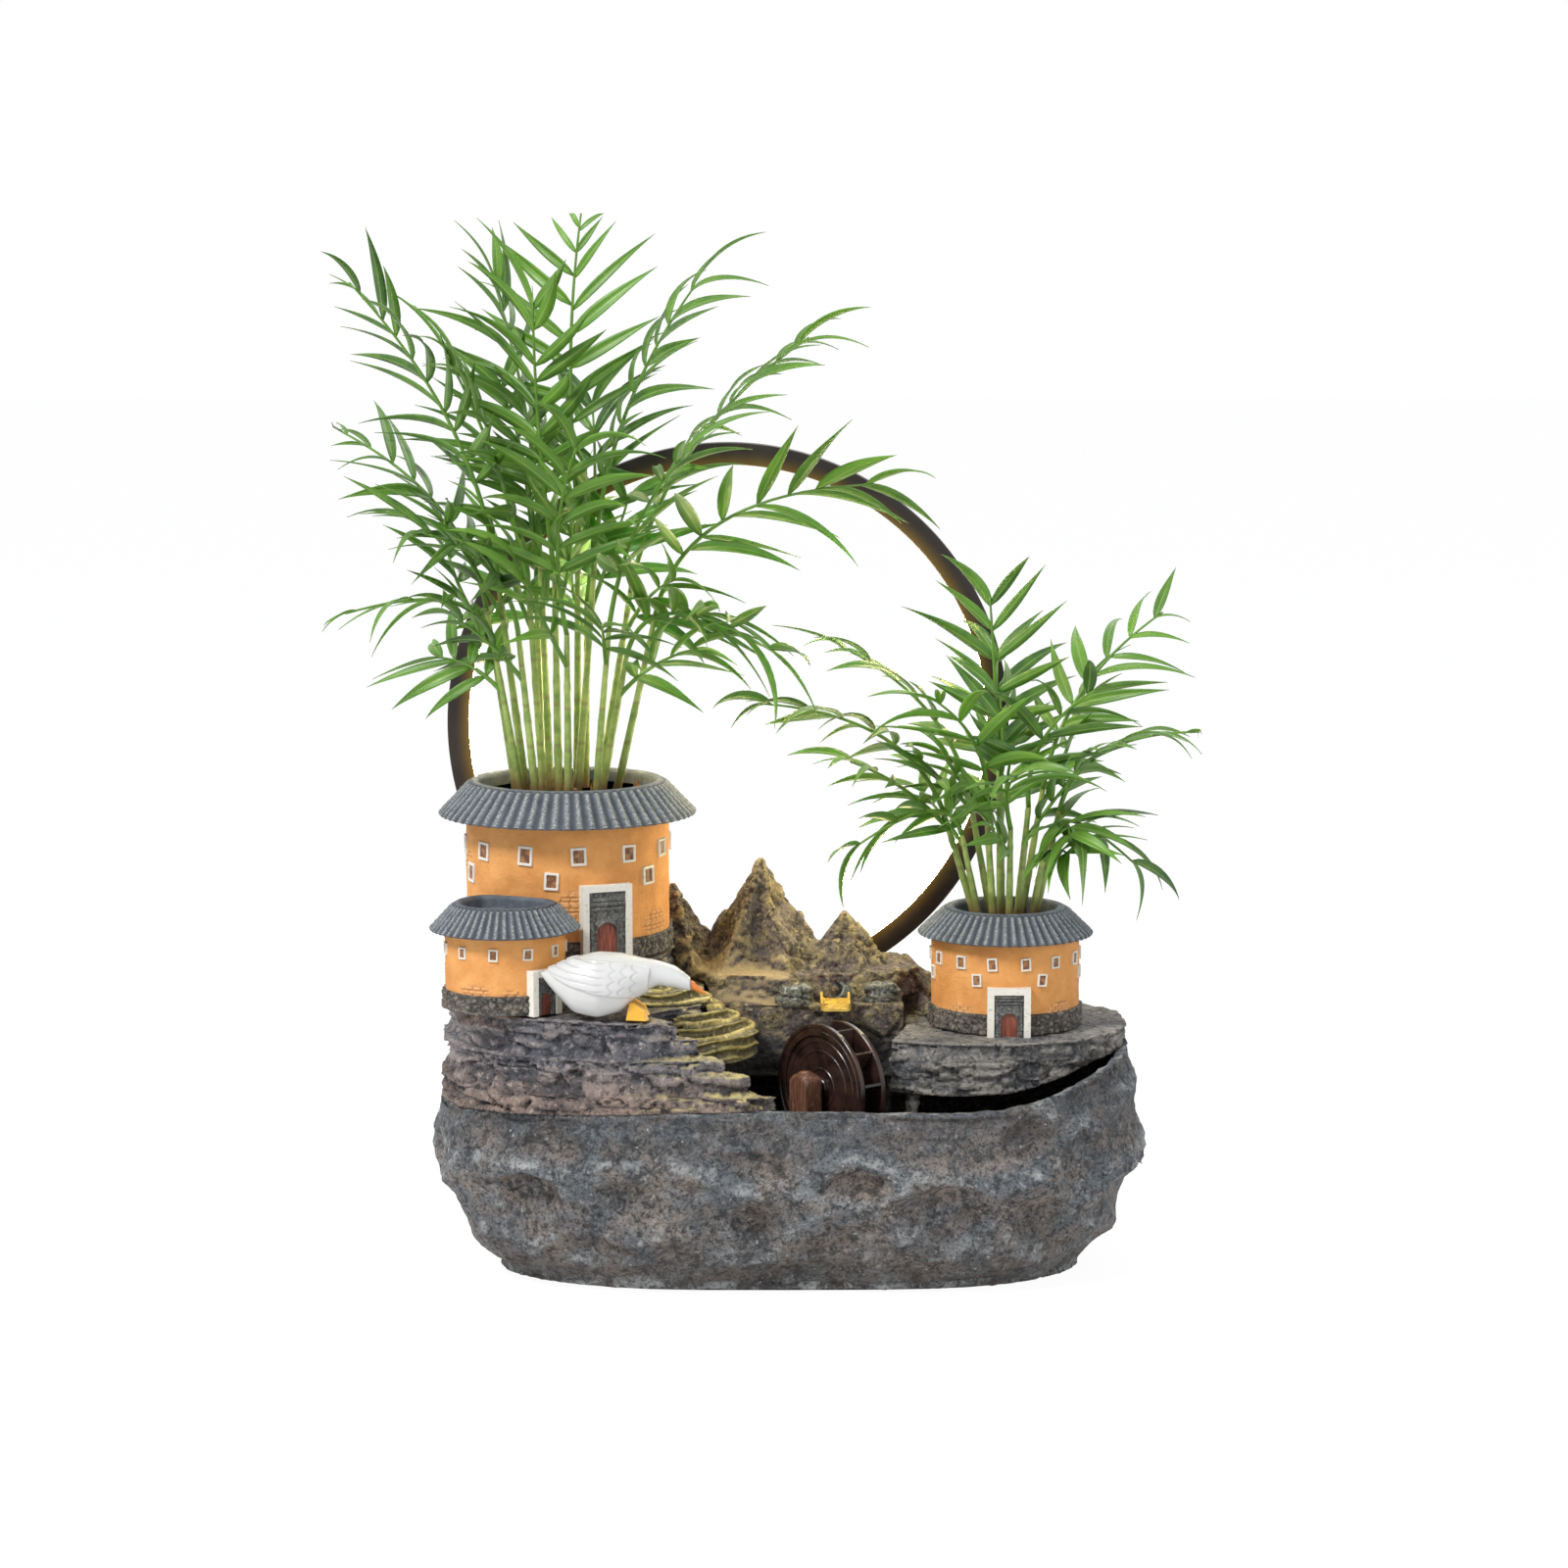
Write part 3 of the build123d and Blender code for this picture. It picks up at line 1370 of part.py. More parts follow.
def frond_curve(frond, root_radius, reach, height, soil_top):
    """Root, knee, pull and tip of a frond in its own upright plane."""
    heading, reach_share, tip_share, root_share, cane_share = frond
    root = Vector(root_share * root_radius, soil_top)
    tip = Vector(reach_share * reach, soil_top + tip_share * height)
    knee = Vector(root.X + knee_share * (tip.X - root.X), soil_top + cane_share * height)
    lift = (knee - root).normalized()
    pull = knee + lift * ((tip - knee).length * pull_share)
    return root, knee, pull, tip, lift


def bend(knee, pull, tip, share):
    """Place and direction on the frond's arch."""
    place = knee * (1 - share) ** 2 + pull * (2 * share * (1 - share)) + tip * share ** 2
    along = ((pull - knee) * (1 - share) + (tip - pull) * share).normalized()
    return place, along


def upright_plane(x, y, heading):
    turn = 2 * math.pi * heading
    return Plane(origin=(x, y, 0), x_dir=(math.cos(turn), math.sin(turn), 0),
                 z_dir=(math.sin(turn), -math.cos(turn), 0))


def build_canes(fronds, x, y, soil_top, root_radius, reach, height):
    """Straight green canes that stand on the soil and lean outwards."""
    with BuildPart() as canes:
        for frond in fronds:
            root, knee, pull, tip, lift = frond_curve(frond, root_radius, reach, height, soil_top)
            upright = upright_plane(x, y, frond[0])
            foot = root - lift * (2 * cane_radius)
            along = upright.from_local_coords(lift) - upright.origin
            with BuildSketch(Plane(origin=upright.from_local_coords(foot), z_dir=along)):
                RegularPolygon(cane_radius, cane_side_count)
            extrude(amount=(knee - foot).length)
        split(bisect_by=Plane.XY.offset(soil_top), keep=Keep.TOP)
    return canes.part


def stalk_outline(knee, pull, tip):
    """Two-sided strip along the arch, square to the cane where it starts."""
    left = []
    right = []
    for step in range(leaf_pair_count + 1):
        place, along = bend(knee, pull, tip, stalk_end_share * step / leaf_pair_count)
        across = Vector(-along.Y, along.X) * (stalk_width / 2)
        left.append(place + across)
        right.append(place - across)
    return left + right[::-1]


def build_crown(fronds, x, y, soil_top, root_radius, reach, height, leaf_length, canes):
    """Arching stalks with pairs of flat pointed leaflets, clear of the canes."""
    leaf_planes = []
    with BuildPart() as crown:
        for frond in fronds:
            root, knee, pull, tip, lift = frond_curve(frond, root_radius, reach, height, soil_top)
            upright = upright_plane(x, y, frond[0])
            with BuildSketch(upright):
                with BuildLine():
                    Polyline(*stalk_outline(knee, pull, tip), close=True)
                make_face()
            end_place, end_along = bend(knee, pull, tip, stalk_end_share)
            inner_place = end_place - end_along * stalk_width
            leaf_planes.append((upright, inner_place, end_along, 0, (tip - inner_place).length))
            for pair in range(1, leaf_pair_count + 1):
                rank = pair / leaf_pair_count
                place, along = bend(knee, pull, tip, stalk_end_share * rank)
                length = leaf_length * (leaf_short_share
                                        + (1 - leaf_short_share) * math.sin(math.pi * rank))
                for side in (-1, 1):
                    leaf_planes.append((upright, place, along, side, length))
        extrude(amount=stalk_width / 2, both=True)
        for upright, place, along, side, length in leaf_planes:
            forward = upright.x_dir * along.X + Vector(0, 0, along.Y)
            drop = Vector(0, 0, leaf_droop_share * abs(side))
            direction = (forward + upright.z_dir * side - drop).normalized()
            normal = direction.cross(forward if side else upright.z_dir).normalized()
            origin = upright.from_local_coords(place)
            with BuildSketch(Plane(origin=origin, x_dir=direction, z_dir=normal)):
                with BuildLine():
                    Polyline(*spread(leaf_outline_shares, length, leaf_width), close=True)
                make_face()
        extrude(amount=leaf_thickness / 2, both=True)
        add(canes, mode=Mode.SUBTRACT)
    return crown.part


leaf_short_share = 0.62
big_palm_canes = build_canes(big_frond_shares, big_house_x, big_house_y, big_soil_top,
                             big_palm_root_radius, big_palm_reach, big_palm_height)
big_palm_canes.label = "big_palm_canes"
export_step(big_palm_canes, "parts/big_palm_canes.step")
big_palm_crown = build_crown(big_frond_shares, big_house_x, big_house_y, big_soil_top,
                             big_palm_root_radius, big_palm_reach, big_palm_height,
                             big_leaf_length, big_palm_canes)
big_palm_crown.label = "big_palm_crown"
export_step(big_palm_crown, "parts/big_palm_crown.step")
small_palm_canes = build_canes(small_frond_shares, right_house_x, right_house_y, right_soil_top,
                               small_palm_root_radius, small_palm_reach, small_palm_height)
small_palm_canes.label = "small_palm_canes"
export_step(small_palm_canes, "parts/small_palm_canes.step")
small_palm_crown = build_crown(small_frond_shares, right_house_x, right_house_y, right_soil_top,
                               small_palm_root_radius, small_palm_reach, small_palm_height,
                               small_leaf_length, small_palm_canes)
small_palm_crown.label = "small_palm_crown"
export_step(small_palm_crown, "parts/small_palm_crown.step")
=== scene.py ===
import math
import random

import bpy
from mathutils import Matrix, Vector, noise


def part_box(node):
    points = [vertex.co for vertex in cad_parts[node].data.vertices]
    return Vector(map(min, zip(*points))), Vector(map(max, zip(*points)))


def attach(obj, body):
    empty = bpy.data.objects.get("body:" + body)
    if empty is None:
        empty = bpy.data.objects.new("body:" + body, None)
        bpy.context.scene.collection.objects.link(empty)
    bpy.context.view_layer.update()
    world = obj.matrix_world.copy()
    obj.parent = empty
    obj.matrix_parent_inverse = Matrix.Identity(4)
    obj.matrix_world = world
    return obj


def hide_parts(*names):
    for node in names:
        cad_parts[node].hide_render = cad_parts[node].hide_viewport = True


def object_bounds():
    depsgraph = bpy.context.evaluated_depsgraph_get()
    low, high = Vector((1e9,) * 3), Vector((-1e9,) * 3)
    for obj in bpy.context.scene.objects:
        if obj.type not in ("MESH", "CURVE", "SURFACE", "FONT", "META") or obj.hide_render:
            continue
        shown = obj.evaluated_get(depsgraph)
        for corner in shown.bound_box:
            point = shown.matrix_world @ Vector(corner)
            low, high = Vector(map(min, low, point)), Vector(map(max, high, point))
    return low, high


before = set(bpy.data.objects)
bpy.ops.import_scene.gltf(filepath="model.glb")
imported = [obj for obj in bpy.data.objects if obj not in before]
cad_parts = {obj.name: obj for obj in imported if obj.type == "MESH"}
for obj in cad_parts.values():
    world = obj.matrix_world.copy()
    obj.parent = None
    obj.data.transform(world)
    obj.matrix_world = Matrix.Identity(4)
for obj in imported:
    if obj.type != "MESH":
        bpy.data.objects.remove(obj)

cad_low, cad_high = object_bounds()


# Studio
# A white table top under an open white sky, one broad lamp from the upper left and two weaker
# ones. The camera stands two metres in front, a little above the roofs.
scene = bpy.context.scene
scene.view_settings.view_transform = "Standard"

camera_data = bpy.data.cameras.new("studio_camera")
camera_data.sensor_width = 36.0
camera_data.lens = 92.8
camera_data.shift_x = -5 / 1600
camera = bpy.data.objects.new("studio_camera", camera_data)
camera.location = (0.0, -2.150, 0.549)
camera.rotation_euler = (Vector((0.0, 0.0, 0.259)) - camera.location).to_track_quat("-Z", "Y").to_euler()
scene.collection.objects.link(camera)
scene.camera = camera


def put(tree, kind, values=None, **settings):
    """Add one shader node, with its settings and the values of its free inputs."""
    made = tree.nodes.new(kind)
    for name, value in settings.items():
        setattr(made, name, value)
    for name, value in (values or {}).items():
        made.inputs[name].default_value = value
    return made


def join(tree, source, output, target, socket):
    tree.links.new(source.outputs[output], target.inputs[socket])


def background_rays(tree):
    """1 for a ray that looks at the backdrop straight, in a mirror or through glass."""
    path = put(tree, "ShaderNodeLightPath")
    seen = put(tree, "ShaderNodeMath", operation="MAXIMUM")
    passed = put(tree, "ShaderNodeMath", operation="MAXIMUM")
    join(tree, path, "Is Camera Ray", seen, 0)
    join(tree, path, "Is Glossy Ray", seen, 1)
    join(tree, seen, 0, passed, 0)
    join(tree, path, "Is Transmission Ray", passed, 1)
    return passed


world = bpy.data.worlds.new("studio_sky")
world.use_nodes = True
scene.world = world
sky = world.node_tree
sky.nodes.clear()
sky_light = put(sky, "ShaderNodeBackground", {"Color": (0.94, 0.97, 1.0, 1.0), "Strength": 0.44})
sky_seen = put(sky, "ShaderNodeBackground", {"Color": (1.0, 1.0, 1.0, 1.0), "Strength": 1.0})
sky_mix = put(sky, "ShaderNodeMixShader")
sky_out = put(sky, "ShaderNodeOutputWorld")
join(sky, background_rays(sky), 0, sky_mix, 0)
join(sky, sky_light, 0, sky_mix, 1)
join(sky, sky_seen, 0, sky_mix, 2)
join(sky, sky_mix, 0, sky_out, 0)

bpy.ops.object.select_all(action="DESELECT")
bpy.ops.mesh.primitive_plane_add(size=24.0, location=(0.0, 0.0, -0.0005))
table_top = bpy.context.object
table_top.name = "table_top"
bpy.ops.object.transform_apply(location=True)
table_paint = bpy.data.materials.new("table_white")
table_paint.use_nodes = True
tree = table_paint.node_tree
tree.nodes.clear()
matt_white = put(tree, "ShaderNodeBsdfDiffuse", {"Color": (0.90, 0.90, 0.90, 1.0)})
lit_white = put(tree, "ShaderNodeEmission", {"Color": (1.0, 1.0, 1.0, 1.0), "Strength": 1.06})
white_share = put(tree, "ShaderNodeMath", {1: 0.90}, operation="MULTIPLY")
white_mix = put(tree, "ShaderNodeMixShader")
white_out = put(tree, "ShaderNodeOutputMaterial")
join(tree, background_rays(tree), 0, white_share, 0)
join(tree, white_share, 0, white_mix, 0)
join(tree, matt_white, 0, white_mix, 1)
join(tree, lit_white, 0, white_mix, 2)
join(tree, white_mix, 0, white_out, 0)
table_top.data.materials.append(table_paint)

for lamp_name, place, size, power in (("lamp_key", (-1.15, -1.15, 1.85), 0.5, 46.0),
                                      ("lamp_fill", (1.5, -1.2, 0.9), 1.2, 8.0),
                                      ("lamp_back", (0.6, 1.4, 1.6), 1.0, 8.0)):
    lamp_data = bpy.data.lights.new(lamp_name, "AREA")
    lamp_data.size = size
    lamp_data.energy = power
    lamp = bpy.data.objects.new(lamp_name, lamp_data)
    lamp.location = place
    lamp.rotation_euler = (Vector((0.0, 0.0, 0.2)) - lamp.location).to_track_quat("-Z", "Y").to_euler()
    scene.collection.objects.link(lamp)


# Basin
# A hollow boulder cast in resin and stone powder: broad shallow dents outside, a coarse
# hammered skin, painted taupe in the dents and slate blue on the ridges between them.
def even_copy(node, name, grain):
    """A closed copy of one fixed solid, meshed evenly so that it can be carved."""
    bpy.ops.object.select_all(action="DESELECT")
    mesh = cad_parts[node].data.copy()
    mesh.materials.clear()
    piece = bpy.data.objects.new(name, mesh)
    scene.collection.objects.link(piece)
    bpy.context.view_layer.objects.active = piece
    piece.select_set(True)
    bpy.ops.object.mode_set(mode="EDIT")
    bpy.ops.mesh.select_all(action="SELECT")
    bpy.ops.mesh.remove_doubles(threshold=0.00001)
    bpy.ops.object.mode_set(mode="OBJECT")
    remesh = piece.modifiers.new("even_grain", "REMESH")
    remesh.mode = "VOXEL"
    remesh.voxel_size = grain
    bpy.ops.object.modifier_apply(modifier=remesh.name)
    bpy.ops.object.shade_smooth()
    return piece


def new_mark(mesh, name):
    """A number on each point of a mesh, for the paint to follow."""
    return mesh.attributes.new(name, "FLOAT", "POINT")


def inside_box(place):
    """The place itself, or the nearest one inside the fountain's own box."""
    return Vector(min(max(value, low), high) for value, low, high in zip(place, cad_low, cad_high))


def carve(piece, relief):
    """Move each point along its normal by what relief(place, normal) gives first, inside the
    fountain's own box, and keep what it gives second for the paint to follow."""
    mesh = piece.data
    wear_and_shade = new_mark(mesh, "wear_and_shade")
    skin = [(vertex.co.copy(), vertex.normal.copy()) for vertex in mesh.vertices]
    for vertex, (place, normal) in zip(mesh.vertices, skin):
        move, wear_and_shade_value = relief(place, normal)
        vertex.co = inside_box(place + normal * move)
        wear_and_shade.data[vertex.index].value = wear_and_shade_value
    mesh.update()


def level_share(value, low, high):
    """0 below low, 1 above high, smooth between."""
    share = min(max((value - low) / (high - low), 0.0), 1.0)
    return share * share * (3 - 2 * share)


def bumps(place, size, octaves=4):
    """Rolling noise between about -1 and 1, with its largest bumps of that size."""
    return noise.fractal(place / size, 1.0, 2.1, octaves)


def crags(place, size, octaves=4):
    """Noise with sharp crests, between 0 and about 1."""
    return min(noise.ridged_multi_fractal(place / size, 0.9, 2.2, octaves, 0.9, 2.0) / 2.2, 1.2)


def softened(piece, passes, group=""):
    """Round a copy off by so many smoothing passes, all of it or one vertex group."""
    soften = piece.modifiers.new("soften", "SMOOTH")
    soften.factor = 0.5
    soften.iterations = passes
    soften.vertex_group = group
    bpy.ops.object.select_all(action="DESELECT")
    bpy.context.view_layer.objects.active = piece
    bpy.ops.object.modifier_apply(modifier=soften.name)


def rounder_copy(piece, passes):
    """A copy of a piece, softened by so many passes, to measure from."""
    rounder = piece.copy()
    rounder.data = piece.data.copy()
    scene.collection.objects.link(rounder)
    softened(rounder, passes)
    return rounder


def boulder_relief(place, normal):
    outward = normal.x * place.x * 0.3 + normal.y * place.y
    flat = level_share(abs(normal.z), 0.85, 0.98)
    if outward <= 0 or flat > 0.99:
        return 0.0006 * bumps(place, 0.008), 0.6
    hammered = 0.0017 * crags(place, 0.0080, 3)
    chipped = 0.0026 * crags(place + Vector((0.3, 0.1, 0.2)), 0.024, 3)
    drawn = Vector((place.x * 0.75, place.y, place.z * 1.3))
    hollow = 0.55 - crags(drawn + Vector((0.11, 0.0, 0.07)), 0.050, 2)
    return -(0.0105 * hollow + 0.0014 - hammered - chipped) * (1 - flat), 0.5


basin = even_copy("basin", "basin_cast", 0.0021)
outer_skin = basin.vertex_groups.new(name="outer_skin")
for vertex in basin.data.vertices:
    out = vertex.normal.x * vertex.co.x * 0.3 + vertex.normal.y * vertex.co.y
    if out > 0.0 and 0.005 < vertex.co.z < 0.094:
        outer_skin.add([vertex.index], 1.0, "REPLACE")
softened(basin, 12, "outer_skin")
carve(basin, boulder_relief)
basin_round = rounder_copy(basin, 200)
wear_and_shade = basin.data.attributes["wear_and_shade"]
# The mark is what stands proud of the rounded copy, as wear, plus painted light: higher where a face turns up
# more than the rounded copy's, lower where it turns down.
for vertex, rounded in zip(basin.data.vertices, basin_round.data.vertices):
    proud = (vertex.co - rounded.co).dot(vertex.normal) + 0.0004 * bumps(vertex.co, 0.012, 4)
    facing_up = vertex.normal.z - rounded.normal.z
    wear_and_shade.data[vertex.index].value = min(max(0.45 + 130.0 * proud + 0.9 * facing_up, 0.0), 1.0)
bpy.data.objects.remove(basin_round)
basin.vertex_groups.clear()


def plug(tree, source, target, socket):
    """Join a node, by its first output, or a (node, output) pair."""
    node, output = source if isinstance(source, tuple) else (source, 0)
    join(tree, node, output, target, socket)


def blend_colour(tree, mask, first, second, mode="MIX"):
    """Mix node; the mask and both colours are each a colour, a node or a (node, output) pair."""
    mixed = put(tree, "ShaderNodeMixRGB", blend_type=mode)
    for socket, source in (("Fac", mask), ("Color1", first), ("Color2", second)):
        if isinstance(source, tuple) and isinstance(source[0], float):
            mixed.inputs[socket].default_value = (*source, 1.0)
        else:
            plug(tree, source, mixed, socket)
    return mixed


def stretch(tree, source, output, low, high):
    """Spread a value from between low and high to between 0 and 1."""
    spread = put(tree, "ShaderNodeMapRange", {"From Min": low, "From Max": high}, clamp=True)
    join(tree, source, output, spread, "Value")
    return spread


def scaled(tree, source, output, factor):
    """A value times a factor."""
    made = put(tree, "ShaderNodeMath", {1: factor}, operation="MULTIPLY")
    join(tree, source, output, made, 0)
    return made


def of_two(tree, operation, first, second):
    """One value out of two, each a node or a (node, output) pair."""
    made = put(tree, "ShaderNodeMath", operation=operation)
    plug(tree, first, made, 0)
    plug(tree, second, made, 1)
    return made


def cloud(tree, scale, detail, roughness=0.5, distortion=0.0):
    """Noise over the piece's own place, in lumps of about 1/scale metres."""
    place = put(tree, "ShaderNodeTexCoord")
    made = put(tree, "ShaderNodeTexNoise", {"Scale": scale, "Detail": detail, "Roughness": roughness,
                                            "Distortion": distortion})
    join(tree, place, "Object", made, "Vector")
    return made


def own_axes(tree):
    """The piece's own place, split in its three directions."""
    place = put(tree, "ShaderNodeTexCoord")
    axes = put(tree, "ShaderNodeSeparateXYZ")
    join(tree, place, "Object", axes, "Vector")
    return axes


def painted_mark(tree, name):
    """A number that the mesh carries on its points."""
    return put(tree, "ShaderNodeAttribute", attribute_name=name)


# Grain of cast and painted stone: a broad patch mask, dark pores, pale grazed grains, a mottle
# and the height that the bump follows
stone_grain = bpy.data.node_groups.new("stone_grain", "ShaderNodeTree")
for name, value in (("Patch Scale", 60.0), ("Grain Scale", 420.0)):
    stone_grain.interface.new_socket(name, socket_type="NodeSocketFloat").default_value = value
for name in ("Patch", "Pore", "Graze", "Mottle", "Height"):
    stone_grain.interface.new_socket(name, in_out="OUTPUT", socket_type="NodeSocketFloat")
tree = stone_grain
grain_in = put(tree, "NodeGroupInput")
grain_out = put(tree, "NodeGroupOutput")
patch = cloud(tree, 60.0, 5.0, 0.62)
coarse = cloud(tree, 420.0, 6.0, 0.68, 0.5)
mottle = cloud(tree, 176.0, 9.0, 0.74, 0.8)
chips = put(tree, "ShaderNodeTexVoronoi", {"Randomness": 1.0}, feature="DISTANCE_TO_EDGE")
join(tree, put(tree, "ShaderNodeTexCoord"), "Object", chips, "Vector")
join(tree, grain_in, "Patch Scale", patch, "Scale")
join(tree, grain_in, "Grain Scale", coarse, "Scale")
join(tree, scaled(tree, grain_in, "Grain Scale", 0.42), 0, mottle, "Scale")
join(tree, scaled(tree, grain_in, "Grain Scale", 0.75), 0, chips, "Scale")
chip_height = scaled(tree, stretch(tree, chips, "Distance", 0.0, 0.30), 0, 0.35)
whole_height = of_two(tree, "ADD", coarse, chip_height)
full_height = of_two(tree, "ADD", whole_height, scaled(tree, mottle, 0, 1.6))
for made, name in ((stretch(tree, patch, 0, 0.36, 0.64), "Patch"),
                   (stretch(tree, coarse, 0, 0.46, 0.37), "Pore"),
                   (stretch(tree, coarse, 0, 0.57, 0.65), "Graze"),
                   (stretch(tree, mottle, 0, 0.505, 0.43), "Mottle"), (full_height, "Height")):
    join(tree, made, 0, grain_out, name)


def start_material(name, roughness=0.5):
    """A new material with only its shader and output, and its tree."""
    material = bpy.data.materials.new(name)
    material.use_nodes = True
    tree = material.node_tree
    tree.nodes.clear()
    shader = put(tree, "ShaderNodeBsdfPrincipled", {"Roughness": roughness}, name="shader")
    out = put(tree, "ShaderNodeOutputMaterial")
    join(tree, shader, 0, out, "Surface")
    return material, tree, shader


def raise_surface(tree, shader, source, output, depth, strength=1.0):
    """Bump of a stated depth in metres from a height between 0 and 1."""
    bump = put(tree, "ShaderNodeBump", {"Strength": strength, "Distance": depth})
    join(tree, source, output, bump, "Height")
    join(tree, bump, 0, shader, "Normal")


def vary_shine(tree, shader, source, output, low, high):
    """Roughness from low to high, by a value between 0 and 1."""
    shine = put(tree, "ShaderNodeMapRange", {"To Min": low, "To Max": high})
    join(tree, source, output, shine, "Value")
    join(tree, shine, 0, shader, "Roughness")


def painted_stone(name, base, second, dark, pale, patch_scale=60.0, grain_scale=420.0, depth=0.0011,
                  mottling=0.75):
    """Cast stone: base colour in its hollows and patches, second brushed over what stands
    proud, dark paint left in the pores and pale paint on the grains."""
    material, tree, shader = start_material(name)
    grain = put(tree, "ShaderNodeGroup", node_tree=stone_grain)
    grain.inputs["Patch Scale"].default_value = patch_scale
    grain.inputs["Grain Scale"].default_value = grain_scale
    wear_and_shade = painted_mark(tree, "wear_and_shade")
    both = of_two(tree, "ADD", (wear_and_shade, "Fac"), (grain, "Patch"))
    mask = stretch(tree, both, 0, 0.45, 1.45)
    ground = blend_colour(tree, mask, base, second)
    mottle_share = scaled(tree, grain, "Mottle", mottling)
    mottled = blend_colour(tree, mottle_share, ground, dark)
    pale_share = scaled(tree, grain, "Graze", 0.60)
    grazed = blend_colour(tree, pale_share, mottled, pale)
    dark_share = scaled(tree, grain, "Pore", 0.80)
    painted = blend_colour(tree, dark_share, grazed, dark)
    join(tree, painted, 0, shader, "Base Color")
    vary_shine(tree, shader, grain, "Pore", 0.62, 0.92)
    raise_surface(tree, shader, grain, "Height", depth)
    return material, tree, shader, painted


boulder_paint, tree, shader, painted = painted_stone(
    "boulder_paint", (0.470, 0.385, 0.325), (0.215, 0.240, 0.264),
    (0.026, 0.026, 0.030), (0.72, 0.69, 0.66), patch_scale=46.0, grain_scale=300.0,
    depth=0.0030)
boulder_axes = own_axes(tree)
light_and_shade_cloud = cloud(tree, 95.0, 8.0, 0.72, 0.6)
speck_cloud = cloud(tree, 330.0, 4.0, 0.6)
boulder_wear_and_shade = painted_mark(tree, "wear_and_shade")
foot_tint = scaled(tree, stretch(tree, boulder_axes, "Z", 0.050, 0.004), 0, 0.60)
foot_painted = blend_colour(tree, foot_tint, painted, (0.085, 0.064, 0.050))
band_tint = scaled(tree, stretch(tree, boulder_axes, "Z", 0.062, 0.090), 0, 0.50)
banded = blend_colour(tree, band_tint, foot_painted, (0.070, 0.084, 0.100))
# Painted shade: near-black paint in the hollows and on faces that turn down, broken up by a cloud.
painted_shade_share = stretch(tree, light_and_shade_cloud, 0, 0.54, 0.40)
painted_shade_broken = put(tree, "ShaderNodeMath", {1: 0.55, 2: 0.25}, operation="MULTIPLY_ADD")
join(tree, painted_shade_share, 0, painted_shade_broken, 0)
painted_shade_mask = put(tree, "ShaderNodeMath", operation="MULTIPLY", use_clamp=True)
join(tree, painted_shade_broken, 0, painted_shade_mask, 0)
join(tree, stretch(tree, boulder_wear_and_shade, "Fac", 0.56, 0.16), 0, painted_shade_mask, 1)
painted_shade_depth = scaled(tree, painted_shade_mask, 0, 0.68)
painted_shaded = blend_colour(tree, painted_shade_depth, banded, (0.016, 0.018, 0.022))
speck_share = stretch(tree, speck_cloud, 0, 0.665, 0.72)
# Pale paint on what stands proud, as wear, and painted highlight on faces that turn up, broken up by the same
# cloud.
wear_and_light_share = of_two(tree, "MULTIPLY", stretch(tree, boulder_wear_and_shade, "Fac", 0.60, 1.00),
                    stretch(tree, light_and_shade_cloud, 0, 0.47, 0.58))
worn_and_lit = blend_colour(tree, wear_and_light_share, painted_shaded, (0.560, 0.570, 0.570))
grit_cloud = cloud(tree, 620.0, 5.0, 0.7)
grit_share = scaled(tree, stretch(tree, grit_cloud, 0, 0.50, 0.38), 0, 0.72)
gritty = blend_colour(tree, grit_share, worn_and_lit, (0.020, 0.022, 0.026))
specked = blend_colour(tree, speck_share, gritty, (0.66, 0.66, 0.66))
join(tree, specked, 0, shader, "Base Color")
basin.data.materials.append(boulder_paint)
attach(basin, "fountain")
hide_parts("basin")


# Cliff
# Slate layers cast in the same resin, on the left of the pond. Thin sheets step back and
# forth, every few broken off short; their tips towards the wheel have the ring lamp's light painted on.
def sheet_relief(place, normal, thickness, reach, tilt=0.05):
    """Move and wear of rock that is split in thin level sheets, each broken at its own line."""
    level = place.z + tilt * place.x + 0.0035 * bumps(Vector((place.x, place.y, 0.0)), 0.045, 2)
    sheet = math.floor(level / thickness)
    within = level / thickness - sheet
    along = Vector((place.x, place.y, sheet * 0.173))
    broken = 0.5 + 0.5 * bumps(along, 0.022, 3)
    stepped = level_share(broken, 0.38, 0.62)
    edge = 1.0 - level_share(within, 0.0, 0.22) * (1.0 - level_share(within, 0.80, 1.0))
    side = 1.0 - level_share(abs(normal.z), 0.55, 0.90)
    move = -side * (reach * (0.75 * (1.0 - stepped) + 0.45 * edge)) + 0.0005 * bumps(place, 0.006)
    return move, max(stepped * (1.0 - edge), 1.0 - side)


def block_relief(place, normal, width, height, reach):
    """Move and wear of rock in ragged blocks, each set back by its own amount, with dark
    cracks between them."""
    warped = place + Vector([bumps(place + Vector(shift), 0.020, 3)
                             for shift in ((0, 0, 0), (5, 2, 1), (1, 7, 3))]) * 0.0045
    cell = Vector((warped.x / width, warped.y / width, (warped.z + 0.10 * warped.x) / height))
    gaps, seeds = noise.voronoi(cell)
    own = abs(math.sin(seeds[0].dot(Vector((12.99, 78.23, 37.72)))) * 43758.5) % 1.0
    crack = 1.0 - level_share(gaps[1] - gaps[0], 0.0, 0.16)
    side = 1.0 - level_share(abs(normal.z), 0.55, 0.90)
    return (0.4 * reach - reach * own - 0.0014 * crack) * (0.25 + 0.75 * side), (1.0 - own) * (1.0 - crack)


